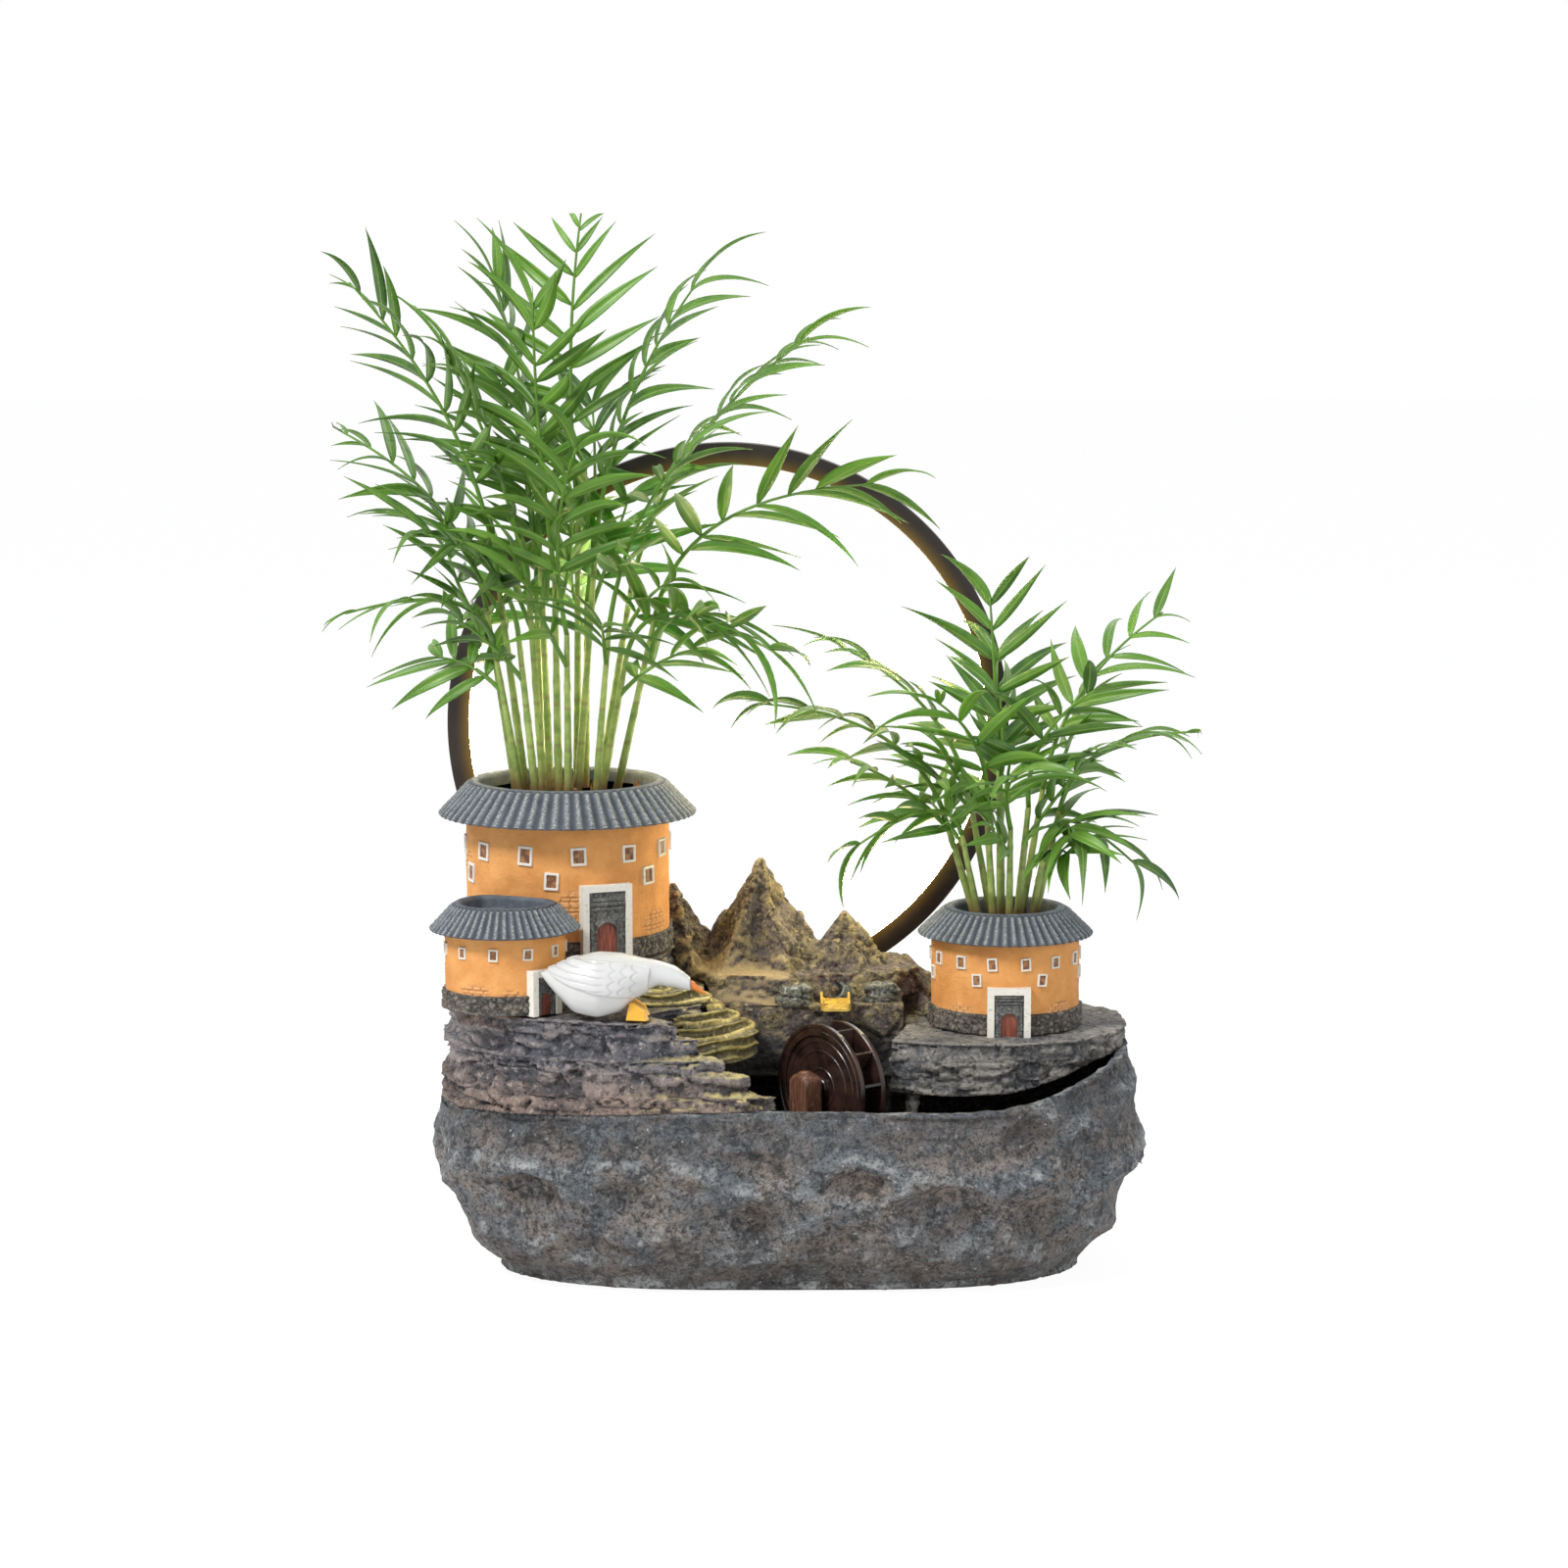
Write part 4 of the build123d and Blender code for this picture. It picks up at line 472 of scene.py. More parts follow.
def edge_wear(piece, passes, low, high, share=1.0):
    """Mark for the paint what stands proud of a rounder copy of the piece, by low to high."""
    rounder = rounder_copy(piece, passes)
    wear_and_shade = piece.data.attributes["wear_and_shade"].data
    for vertex, rounded in zip(piece.data.vertices, rounder.data.vertices):
        proud = (vertex.co - rounded.co).dot(vertex.normal)
        mark = wear_and_shade[vertex.index]
        mark.value = mark.value * (1.0 - share) + share * level_share(proud, low, high)
    bpy.data.objects.remove(rounder)


def footed(tree, painted, low, high, tint, mode="MIX"):
    """Another paint below a height in metres, over a ragged edge."""
    axes = own_axes(tree)
    ragged = cloud(tree, 130.0, 5.0, 0.65)
    shift = put(tree, "ShaderNodeMath", {1: 0.016, 2: -0.008}, operation="MULTIPLY_ADD")
    join(tree, ragged, 0, shift, 0)
    level = of_two(tree, "ADD", (axes, "Z"), shift)
    foot = scaled(tree, stretch(tree, level, 0, high, low), 0, 0.85)
    return blend_colour(tree, foot, painted, tint, mode)


def cliff_relief(place, normal):
    if normal.z < -0.8:
        return 0.0, 0.2
    block, block_wear = block_relief(place, normal, 0.040, 0.015, 0.0030)
    sheet, sheet_wear = sheet_relief(place + Vector((0, 0, 3.0 * block)), normal, 0.0068, 0.0040)
    top = level_share(normal.z, 0.6, 0.9)
    return block + sheet - top * 0.0008 * (1 - bumps(place, 0.012, 3)), 0.5 * (block_wear + sheet_wear)


cliff = even_copy("strata_cliff", "strata_cliff_cast", 0.0015)
softened(cliff, 2)
carve(cliff, cliff_relief)
edge_wear(cliff, 18, -0.0006, 0.0007, 0.65)
slate_paint, tree, shader, painted = painted_stone(
    "slate_paint", (0.085, 0.088, 0.105), (0.330, 0.290, 0.285),
    (0.014, 0.016, 0.022), (0.60, 0.57, 0.57), patch_scale=30.0, grain_scale=330.0,
    depth=0.0014, mottling=0.40)
# Painted light: ochre on the upward faces of the tips towards the wheel, where the ring lamp's warm light
# falls, broken up by a cloud.
tip_share = stretch(tree, own_axes(tree), "X", -0.085, -0.045)
upward = put(tree, "ShaderNodeNewGeometry")
upward_axes = put(tree, "ShaderNodeSeparateXYZ")
join(tree, upward, "Normal", upward_axes, 0)
top_share = stretch(tree, upward_axes, "Z", 0.30, 0.72)
ochre_light_share = of_two(tree, "MULTIPLY", tip_share, top_share)
ochre_light_grain = cloud(tree, 190.0, 6.0, 0.7)
ochre_light_broken = stretch(tree, ochre_light_grain, 0, 0.34, 0.56)
ochre_light_mask = of_two(tree, "MULTIPLY", ochre_light_share, ochre_light_broken)
cliff_footed = footed(tree, painted, 0.104, 0.126, (1.0, 0.80, 0.64), "MULTIPLY")
ochre_lit_tips = blend_colour(tree, ochre_light_mask, cliff_footed, (0.74, 0.62, 0.27))
join(tree, ochre_lit_tips, 0, shader, "Base Color")
cliff.data.materials.append(slate_paint)
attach(cliff, "fountain")
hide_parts("strata_cliff")


# Terraces
# A knoll of curved paddy steps: each step has a raised lip with a wet trough behind it.
# Olive and ochre paint, rubbed back to gold along the lips.
terrace_centre = Vector((-0.066, -0.028, 0.0))
terrace_step = 0.0056


def terrace_relief(place, normal):
    across = place.x - terrace_centre.x
    along = place.y - terrace_centre.y
    turn = math.atan2(along, across)
    swirl = 0.0016 * math.sin(3.0 * turn + 0.8) + 0.0022 * bumps(place, 0.028, 2)
    top = level_share(normal.z, 0.55, 0.92)
    side = 1.0 - level_share(abs(normal.z), 0.45, 0.85)
    if normal.z < -0.6 or place.z < 0.1195:
        return 0.0, 0.3
    radius = math.hypot(across / 0.050, along / 0.046) * 0.048
    lane = (place.z - 0.50 * radius + 1.5 * swirl) / terrace_step
    within = lane - math.floor(lane)
    lip = level_share(within, 0.45, 0.80) * (1.0 - level_share(within, 0.86, 1.0))
    move = -(0.0022 * top + 0.0026 * side) * (1.0 - lip)
    return move + 0.0002 * bumps(place, 0.008, 2), -0.4 + 1.6 * lip


terraces = even_copy("terrace_hill", "terrace_cast", 0.0010)
softened(terraces, 22)
carve(terraces, terrace_relief)
terrace_paint, tree, shader, painted = painted_stone(
    "terrace_paint", (0.100, 0.082, 0.024), (0.520, 0.420, 0.130),
    (0.045, 0.038, 0.014), (0.78, 0.68, 0.34), patch_scale=40.0, grain_scale=300.0,
    depth=0.0004, mottling=0.25)
terrace_footed = footed(tree, painted, 0.114, 0.124, (0.070, 0.072, 0.075))
join(tree, terrace_footed, 0, shader, "Base Color")
shader.inputs["Coat Weight"].default_value = 0.35
shader.inputs["Coat Roughness"].default_value = 0.25
terraces.data.materials.append(terrace_paint)
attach(terraces, "fountain")
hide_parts("terrace_hill")


# Mountains
# Craggy peaks behind the wheel with a sandy stream bed winding down between them: creased
# flanks that run down from each top, purple-grey rock under an ochre and olive wash.
peaks = [(-0.0156, 0.046, 0.2125), (0.0306, 0.040, 0.184), (-0.064, 0.056, 0.197), (0.064, 0.052, 0.158)]
stream = [(-0.050, 0.030), (-0.036, 0.016), (-0.022, 0.012), (-0.010, 0.006), (-0.004, -0.004),
          (0.004, -0.010)]


def stream_gap(place):
    """Distance on the ground from a place to the middle of the stream."""
    least = 1.0
    here = Vector((place.x, place.y))
    for (x0, y0), (x1, y1) in zip(stream, stream[1:]):
        start = Vector((x0, y0))
        run = Vector((x1, y1)) - start
        share = min(max((here - start).dot(run) / run.length_squared, 0.0), 1.0)
        least = min(least, (here - start - run * share).length)
    return least


def mountain_relief(place, normal):
    if normal.z < -0.7 or place.z < 0.082:
        return 0.0, 0.3
    nearest = min(peaks, key=lambda peak: math.hypot(place.x - peak[0], place.y - peak[1]))
    turn = math.atan2(place.y - nearest[1], place.x - nearest[0])
    drop = nearest[2] - place.z
    reach = math.hypot(place.x - nearest[0], place.y - nearest[1])
    crease = 1.0 - abs(math.sin(3.5 * turn + 1.6 * bumps(place, 0.022, 2) + 16.0 * drop))
    flank = level_share(place.z, 0.140, 0.160) * level_share(reach, 0.002, 0.010)
    block, block_wear = block_relief(place, normal, 0.017, 0.013, 0.0028)
    sand = 1.0 - level_share(stream_gap(place), 0.006, 0.011)
    sand *= level_share(normal.z, 0.2, 0.6)
    rough = block - 0.0022 * (0.6 - crease) * flank - 0.0010 * (0.7 - crags(place, 0.010, 4)) + 0.0004
    rough *= level_share(math.hypot(reach, drop), 0.002, 0.011)
    return rough * (1.0 - sand) - 0.0008 * sand, 0.5 * block_wear + 0.5 * crease * flank


def ledge_shelves(place, normal):
    if normal.z < -0.8 or place.z < 0.079:
        return 0.0, 0.2
    block, block_wear = block_relief(place, normal, 0.040, 0.013, 0.0028)
    sheet, sheet_wear = sheet_relief(place + Vector((0, 0, 3.0 * block)), normal, 0.0052, 0.0026, tilt=-0.04)
    return block + sheet, 0.5 * (block_wear + sheet_wear)


mountains = even_copy("mountain_ridge", "mountain_cast", 0.0014)
softened(mountains, 3)
carve(mountains, mountain_relief)
edge_wear(mountains, 22, -0.0002, 0.0014, 0.80)
mesh = mountains.data
sandy = new_mark(mesh, "sandy")
for vertex in mesh.vertices:
    ragged = 0.0025 * bumps(vertex.co, 0.010, 3)
    beside = level_share(stream_gap(vertex.co) + ragged, 0.006, 0.012)
    sandy.data[vertex.index].value = (1.0 - beside) * level_share(vertex.normal.z, 0.15, 0.5)
mountain_paint, tree, shader, painted = painted_stone(
    "mountain_paint", (0.190, 0.150, 0.135), (0.440, 0.350, 0.155),
    (0.024, 0.018, 0.016), (0.74, 0.61, 0.30), patch_scale=60.0, grain_scale=340.0,
    depth=0.0020)
sand_mask = painted_mark(tree, "sandy")
sand_grit = cloud(tree, 1400.0, 2.0)
sand_colour = blend_colour(tree, sand_grit, (0.46, 0.34, 0.17), (0.74, 0.58, 0.32))
with_sand = blend_colour(tree, (sand_mask, "Fac"), painted, sand_colour)
mountain_footed = footed(tree, with_sand, 0.118, 0.134, (0.068, 0.070, 0.076))
join(tree, mountain_footed, 0, shader, "Base Color")
mountains.data.materials.append(mountain_paint)
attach(mountains, "fountain")
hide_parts("mountain_ridge")


# Right ledge
# Slabs that lean out over the pond under the small planter, with a water-worn pillar below.
ledge = even_copy("right_ledge", "right_ledge_cast", 0.0015)
softened(ledge, 2)
carve(ledge, ledge_shelves)
edge_wear(ledge, 18, -0.0006, 0.0007, 0.65)
ledge_paint = painted_stone("ledge_paint", (0.105, 0.110, 0.120), (0.350, 0.325, 0.290),
                            (0.014, 0.016, 0.020), (0.60, 0.58, 0.54),
                            patch_scale=34.0, grain_scale=330.0, depth=0.0014,
                            mottling=0.45)[0]
ledge.data.materials.append(ledge_paint)
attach(ledge, "fountain")
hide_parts("right_ledge")


# Stones beside the spout
# Two flat, dark, layered stones on the shelf over the wheel, green where the spray keeps them wet.
def stone_relief(place, normal):
    block, block_wear = block_relief(place, normal, 0.010, 0.0060, 0.0030)
    sheet, sheet_wear = sheet_relief(place, normal, 0.0026, 0.0008, tilt=0.25)
    return 0.0030 + 0.0012 * bumps(place, 0.008, 2) + block + sheet, 0.5 * (block_wear + sheet_wear)


spout_stones = even_copy("spout_stones", "spout_stones_cast", 0.0006)
softened(spout_stones, 5)
carve(spout_stones, stone_relief)
edge_wear(spout_stones, 14, -0.0002, 0.0004, 0.7)
mossy_paint, tree, shader, painted = painted_stone(
    "mossy_paint", (0.030, 0.036, 0.034), (0.200, 0.200, 0.150),
    (0.008, 0.010, 0.009), (0.52, 0.46, 0.24), patch_scale=110.0, grain_scale=600.0,
    depth=0.0008)
shader.inputs["Coat Weight"].default_value = 0.5
shader.inputs["Coat Roughness"].default_value = 0.2
spout_stones.data.materials.append(mossy_paint)
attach(spout_stones, "fountain")
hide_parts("spout_stones")


# Spout
# A short trough that carries the water out over the wheel, its front lip rounded down, yellow with painted
# lamp light.
def clouded(name, texture, spread, first, second, roughness=0.5):
    """Paint in soft patches of two colours. texture is the scale, detail and roughness of the
    patches, spread the two values of it that the colours stand for."""
    material, tree, shader = start_material(name, roughness)
    patches = cloud(tree, *texture)
    colour = blend_colour(tree, stretch(tree, patches, 0, *spread), first, second)
    join(tree, colour, 0, shader, "Base Color")
    return material, tree, shader, patches


spout = even_copy("spout_trough", "spout_trough_cast", 0.0005)
spout_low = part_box("spout_trough")[0]


def spout_relief(place, normal):
    front = 1.0 - level_share(place.y, spout_low.y + 0.0005, spout_low.y + 0.005)
    edge = level_share(abs(place.x - 0.025), 0.0055, 0.0083)
    return -0.0007 * front * edge - 0.00025 * (1.0 + bumps(place, 0.006, 3)), 1.0 - front * 0.4


carve(spout, spout_relief)
# Painted light: the trough is painted yellow for the ring lamp's warm light that falls on it, in patches of
# two tones.
material, tree, shader, spout_stain = clouded(
    "spout_glaze_with_painted_lamp_light", (240.0, 6.0, 0.6), (0.35, 0.72), (0.80, 0.52, 0.06), (0.46, 0.30, 0.07))
vary_shine(tree, shader, spout_stain, 0, 0.16, 0.42)
raise_surface(tree, shader, spout_stain, 0, 0.0004)
spout.data.materials.append(material)
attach(spout, "fountain")
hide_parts("spout_trough")


# Round houses: walls
# Three drums of rammed earth, cast and painted orange, on a plinth of rubble. Here and there
# the render has fallen off and shows bricks. Two of them are hollow pots for the palms.
house_sites = {
    "big": dict(x=-0.1198, y=0.016, base=0.168, wall=0.0548, eave_radius=0.0695, rim_radius=0.053,
                eave=0.2415, rim=0.259, tiles=64, door=(24.0, 0.028, 0.042),
                window=(0.0085, 0.010), pot=0.006),
    "left": dict(x=-0.1494, y=-0.052, base=0.148, wall=0.0316, eave_radius=0.0395, rim_radius=0.0272,
                 eave=0.1895, rim=0.203, tiles=52, door=(42.0, 0.019, 0.024),
                 window=(0.0052, 0.0062), pot=0.0),
    "right": dict(x=0.117, y=0.005, base=0.128, wall=0.0399, eave_radius=0.0472, rim_radius=0.033,
                  eave=0.1775, rim=0.1915, tiles=56, door=(0.0, 0.023, 0.0265),
                  window=(0.0058, 0.007), pot=0.006),
}
plinth_height = 0.011
plinth_reach = 0.0022

# Each bare patch of bricks: angle from the front in degrees, height, half width, half height
brick_patches = {
    "big": [(8.0, 0.198, 0.017, 0.009), (-22.0, 0.187, 0.011, 0.006), (62.0, 0.186, 0.012, 0.007),
            (140.0, 0.215, 0.014, 0.009), (205.0, 0.190, 0.016, 0.008), (-75.0, 0.216, 0.012, 0.007)],
    "left": [(-28.0, 0.160, 0.009, 0.005), (10.0, 0.158, 0.006, 0.004), (-100.0, 0.168, 0.008, 0.005)],
    "right": [(44.0, 0.141, 0.010, 0.005), (-40.0, 0.140, 0.008, 0.004), (150.0, 0.152, 0.011, 0.006),
              (-120.0, 0.143, 0.010, 0.005)],
}


def seat_of(site):
    """Height at which the roof's underside meets the wall."""
    slope = (site["rim"] - site["eave"]) / (site["eave_radius"] - site["rim_radius"])
    return site["eave"] + slope * (site["eave_radius"] - site["wall"]) - 0.0045


def turned(name, x, y, profile, sides, closed=False):
    """A shell turned about an upright line: a circle drawn out step by step along
    (radius, height) places. Its ends are capped, or the profile is closed to a ring."""
    bpy.ops.object.select_all(action="DESELECT")
    first_radius, first_height = profile[0]
    bpy.ops.mesh.primitive_circle_add(vertices=sides, radius=first_radius,
                                      fill_type="NOTHING" if closed else "NGON",
                                      location=(x, y, first_height))
    piece = bpy.context.object
    piece.name = name
    bpy.ops.object.mode_set(mode="EDIT")
    bpy.ops.mesh.select_all(action="SELECT")
    bpy.ops.mesh.select_mode(type="EDGE")
    following = profile[1:] + (profile[:1] if closed else [])
    for (radius, height), (next_radius, next_height) in zip(profile, following):
        bpy.ops.mesh.extrude_region_move(
            TRANSFORM_OT_translate={"value": (0.0, 0.0, next_height - height)})
        scale = next_radius / radius
        bpy.ops.transform.resize(value=(scale, scale, 1.0), center_override=(x, y, next_height))
    bpy.ops.mesh.select_all(action="SELECT")
    if closed:
        bpy.ops.mesh.remove_doubles(threshold=0.000002)
    bpy.ops.mesh.normals_make_consistent(inside=False)
    bpy.ops.object.mode_set(mode="OBJECT")
    bpy.ops.object.transform_apply(location=True, rotation=True, scale=True)
    return piece


def rows(start, end, count):
    """Evenly spaced (radius, height) places from start, not taken, to end."""
    return [tuple(first + (last - first) * step / count for first, last in zip(start, end))
            for step in range(1, count + 1)]


def outward_of(site, place):
    """The way from the middle line of a house to a place, level."""
    return Vector((place.x, place.y, 0.0)) - Vector((site["x"], site["y"], 0.0))


def wall_angle(site, place):
    """Angle round the house in degrees: 0 at the front, growing to the right."""
    return math.degrees(math.atan2(place.x - site["x"], -(place.y - site["y"])))


def brick_share(site, patches, place):
    """How far a wall point lies inside one of the bare brick patches."""
    angle = wall_angle(site, place)
    best = 0.0
    for centre, height, half_width, half_height in patches:
        across = math.radians((angle - centre + 180.0) % 360.0 - 180.0) * site["wall"]
        reach = (across / half_width) ** 2 + ((place.z - height) / half_height) ** 2
        ragged = 0.45 * bumps(place, 0.006, 3)
        best = max(best, 1.0 - level_share(reach + ragged, 0.75, 1.0))
    return best


brick_width = 0.0046
brick_height = 0.0019
render_depth = 0.00055
brick_depth = 0.0009


def brick_joint(site, place):
    """1 on the face of a brick and 0 in the joints round it."""
    course = place.z / brick_height
    across = math.radians(wall_angle(site, place)) * site["wall"] / brick_width
    across += 0.5 * (math.floor(course) % 2) + 0.15 * math.sin(3.1 * math.floor(course))
    up = abs(course - math.floor(course) - 0.5)
    side = abs(across - math.floor(across) - 0.5)
    return (1.0 - level_share(up, 0.30, 0.46)) * (1.0 - level_share(side, 0.38, 0.47))


for house_name, site in house_sites.items():
    seat = seat_of(site)
    wall_radius = site["wall"]
    profile = [(wall_radius - 0.002, site["base"] + 0.0002)]
    profile += rows((wall_radius, site["base"] + 0.0002), (wall_radius, seat),
                    int((seat - site["base"]) / 0.0007))
    if site["pot"]:
        inner = wall_radius - site["pot"]
        profile += [(inner, seat), (inner, site["rim"] - 0.020)]
    wall = turned(house_name + "_house_earth_wall", site["x"], site["y"], profile,
                  int(2 * math.pi * wall_radius / 0.0008))
    mesh = wall.data
    bare = new_mark(mesh, "bare")
    joint = new_mark(mesh, "joint")
    for vertex in mesh.vertices:
        outward = outward_of(site, vertex.co)
        if outward.length < wall_radius - 0.0005:
            continue
        share = brick_share(site, brick_patches[house_name], vertex.co)
        face = brick_joint(site, vertex.co)
        rough = 0.00025 * bumps(vertex.co, 0.007, 4)
        bare.data[vertex.index].value = share
        joint.data[vertex.index].value = face
        vertex.co += outward.normalized() * (rough - share * (render_depth - brick_depth * face))
    wall.select_set(True)
    bpy.ops.object.shade_smooth()
    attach(wall, "fountain")
    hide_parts(house_name + "_house_wall")

earth_paint, tree, shader = start_material("earth_render", 0.78)
earth_cloud = cloud(tree, 55.0, 6.0, 0.62)
earth_speck = cloud(tree, 700.0, 4.0, 0.7)
cloud_share = stretch(tree, earth_cloud, 0, 0.34, 0.66)
earth_base = blend_colour(tree, cloud_share, (0.66, 0.275, 0.070), (0.82, 0.39, 0.120))
speck_share = stretch(tree, earth_speck, 0, 0.60, 0.72)
faint_speck = scaled(tree, speck_share, 0, 0.35)
earth_specked = blend_colour(tree, faint_speck, earth_base, (0.28, 0.13, 0.05))
bare_mask = painted_mark(tree, "bare")
joint_mask = painted_mark(tree, "joint")
brick_colour = blend_colour(tree, (joint_mask, "Fac"), (0.50, 0.215, 0.070), (0.78, 0.39, 0.145))
earth_bricks = blend_colour(tree, (bare_mask, "Fac"), earth_specked, brick_colour)
join(tree, earth_bricks, 0, shader, "Base Color")
raise_surface(tree, shader, earth_speck, 0, 0.0005)
for house_name in house_sites:
    bpy.data.objects[house_name + "_house_earth_wall"].data.materials.append(earth_paint)


# Rubble plinths
# A low ring of small dark stones set in mortar round the foot of each wall, open at the door.
rubble_paint = painted_stone("rubble_paint", (0.060, 0.052, 0.046), (0.230, 0.200, 0.165),
                             (0.014, 0.012, 0.010), (0.46, 0.42, 0.34),
                             patch_scale=130.0, grain_scale=700.0, depth=0.0006)[0]


def rubble_lift(place):
    """Height of the stones, rounded between their joints."""
    distances = noise.voronoi(Vector((place.x, place.y, place.z * 1.25)) / 0.0042)[0]
    return level_share(distances[1] - distances[0], 0.02, 0.45)


for house_name, site in house_sites.items():
    outer = site["wall"] + plinth_reach
    low = site["base"]
    high = site["base"] + plinth_height * (0.92 if house_name == "left" else 1.0)
    profile = [(site["wall"] - 0.001, low)] + rows((outer, low), (outer, high), 15)
    profile += [(outer - 0.0007, high + 0.0006), (site["wall"] - 0.001, high + 0.0006)]
    plinth = turned(house_name + "_house_rubble_plinth", site["x"], site["y"], profile,
                    int(2 * math.pi * outer / 0.0009))
    door_angle, door_width, door_height = site["door"]
    mesh = plinth.data
    bpy.ops.object.mode_set(mode="EDIT")
    bpy.ops.mesh.select_mode(type="FACE")
    bpy.ops.mesh.select_all(action="DESELECT")
    bpy.ops.object.mode_set(mode="OBJECT")
    half_open = math.degrees((door_width / 2 - 0.0012) / site["wall"])
    for face in mesh.polygons:
        turn = (wall_angle(site, face.center) - door_angle + 180.0) % 360.0 - 180.0
        cap = face.area > 0.0005
        face.select = cap or abs(turn) < half_open
    bpy.ops.object.mode_set(mode="EDIT")
    bpy.ops.mesh.delete(type="FACE")
    bpy.ops.object.mode_set(mode="OBJECT")
    wear_and_shade = new_mark(mesh, "wear_and_shade")
    for vertex in mesh.vertices:
        outward = outward_of(site, vertex.co)
        lift = rubble_lift(vertex.co)
        wear_and_shade.data[vertex.index].value = lift
        if outward.length > site["wall"] + 0.0005:
            vertex.co += outward.normalized() * (0.0011 * (lift - 1.0))
    bpy.ops.object.shade_smooth()
    plinth.data.materials.append(rubble_paint)
    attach(plinth, "fountain")


# Windows
# Small square openings, each with a raised frame painted white by hand, so no two are quite
# alike, and a brown pane set back in it.
frame_paint, tree, shader, frame_wear = clouded(
    "chalk_white_paint", (520.0, 6.0, 0.7), (0.56, 0.74), (0.80, 0.77, 0.69), (0.42, 0.33, 0.23), 0.62)
raise_surface(tree, shader, frame_wear, 0, 0.0004)

pane_paint, tree, shader, pane_cloud = clouded(
    "window_brown_paint", (380.0, 5.0), (0.40, 0.62), (0.16, 0.060, 0.030), (0.42, 0.20, 0.075), 0.55)
raise_surface(tree, shader, pane_cloud, 0, 0.0003)


def facing_matrix(site, angle, distance, height):
    """Places something drawn in X across, Z up and -Y outwards on the wall at an angle."""
    turn = math.radians(angle)
    place = Vector((site["x"] + distance * math.sin(turn), site["y"] - distance * math.cos(turn), height))
    return Matrix.Translation(place) @ Matrix.Rotation(turn, 4, "Z")


def board(name, width, height, thick, border=0.0):
    """A flat board facing -Y with softened edges; with a border it is an open frame."""
    bpy.ops.object.select_all(action="DESELECT")
    bpy.ops.mesh.primitive_plane_add(size=1.0, rotation=(math.pi / 2, 0.0, 0.0))
    piece = bpy.context.object
    piece.name = name
    piece.scale = (width, height, 1.0)
    bpy.ops.object.transform_apply(location=True, rotation=True, scale=True)
    bpy.ops.object.mode_set(mode="EDIT")
    bpy.ops.mesh.select_mode(type="FACE")
    bpy.ops.mesh.select_all(action="SELECT")
    if border:
        bpy.ops.mesh.inset(thickness=border, depth=0.0)
        bpy.ops.mesh.delete(type="FACE")
        bpy.ops.mesh.select_all(action="SELECT")
    bpy.ops.mesh.extrude_region_move(TRANSFORM_OT_translate={"value": (0.0, -thick, 0.0)})
    bpy.ops.mesh.select_all(action="SELECT")
    bpy.ops.mesh.normals_make_consistent(inside=False)
    bpy.ops.object.mode_set(mode="OBJECT")
    soft = piece.modifiers.new("soft_edge", "BEVEL")
    soft.width = min(width, height, border or width) * 0.18
    soft.segments = 2
    bpy.ops.object.modifier_apply(modifier=soft.name)
    return piece


def joined(pieces, name):
    """Pieces joined to one."""
    bpy.ops.object.select_all(action="DESELECT")
    for piece in pieces:
        piece.select_set(True)
    bpy.context.view_layer.objects.active = pieces[0]
    if len(pieces) > 1:
        bpy.ops.object.join()
    pieces[0].name = name
    bpy.ops.object.transform_apply(location=True, rotation=True, scale=True)
    return pieces[0]


def set_copies(model, matrices, name):
    """Copies of a model at each place, joined to one piece; the model itself is used up."""
    copies = []
    for matrix in matrices:
        copy = bpy.data.objects.new(name, model.data.copy())
        copy.data.transform(matrix)
        scene.collection.objects.link(copy)
        copies.append(copy)
    bpy.data.objects.remove(model)
    return joined(copies, name)


window_rows = {
    "big": [(12, 9.0, 0.78), (6, -6.0, 0.60)],
    "left": [(11, -7.3, 0.78)],
    "right": [(14, 12.9, 0.78), (7, 26.5, 0.60)],
}
window_chance = random.Random(3)
for house_name, site in house_sites.items():
    width, height = site["window"]
    frames = []
    panes = []
    for count, first_angle, share in window_rows[house_name]:
        level = site["base"] + share * (site["eave"] - site["base"])
        for index in range(count):
            tilt = Matrix.Rotation(math.radians(window_chance.uniform(-4.0, 4.0)), 4, "Y")
            squeeze = Matrix.Diagonal((window_chance.uniform(0.9, 1.05), 1.0,
                                       window_chance.uniform(0.92, 1.05), 1.0))
            angle = first_angle + 360.0 * index / count
            place = facing_matrix(site, angle, site["wall"] - 0.0006, level)
            frames.append(place @ tilt @ squeeze)
            panes.append(place @ tilt)
    frame_model = board("window_frame_model", width, height, 0.0016, border=width * 0.16)
    window_frames = set_copies(frame_model, frames, house_name + "_house_window_frames")
    pane_model = board("window_pane_model", width * 0.80, height * 0.80, 0.0009)
    window_panes = set_copies(pane_model, panes, house_name + "_house_window_panes")
    window_frames.data.materials.append(frame_paint)
    window_panes.data.materials.append(pane_paint)
    for piece, finish in ((window_frames, "frame_white"), (window_panes, "door_red")):
        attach(piece, "fountain")


# Doors
# White frame, grey stone surround with a stepped lintel and a bare name board, and an arched
# red-brown leaf of planks. The frame, surround and leaf are the cast pieces themselves.
stone_trim = painted_stone("grey_stone_trim", (0.120, 0.120, 0.112), (0.300, 0.300, 0.280),
                           (0.030, 0.030, 0.028), (0.50, 0.50, 0.46),
                           patch_scale=120.0, grain_scale=800.0, depth=0.0004)[0]


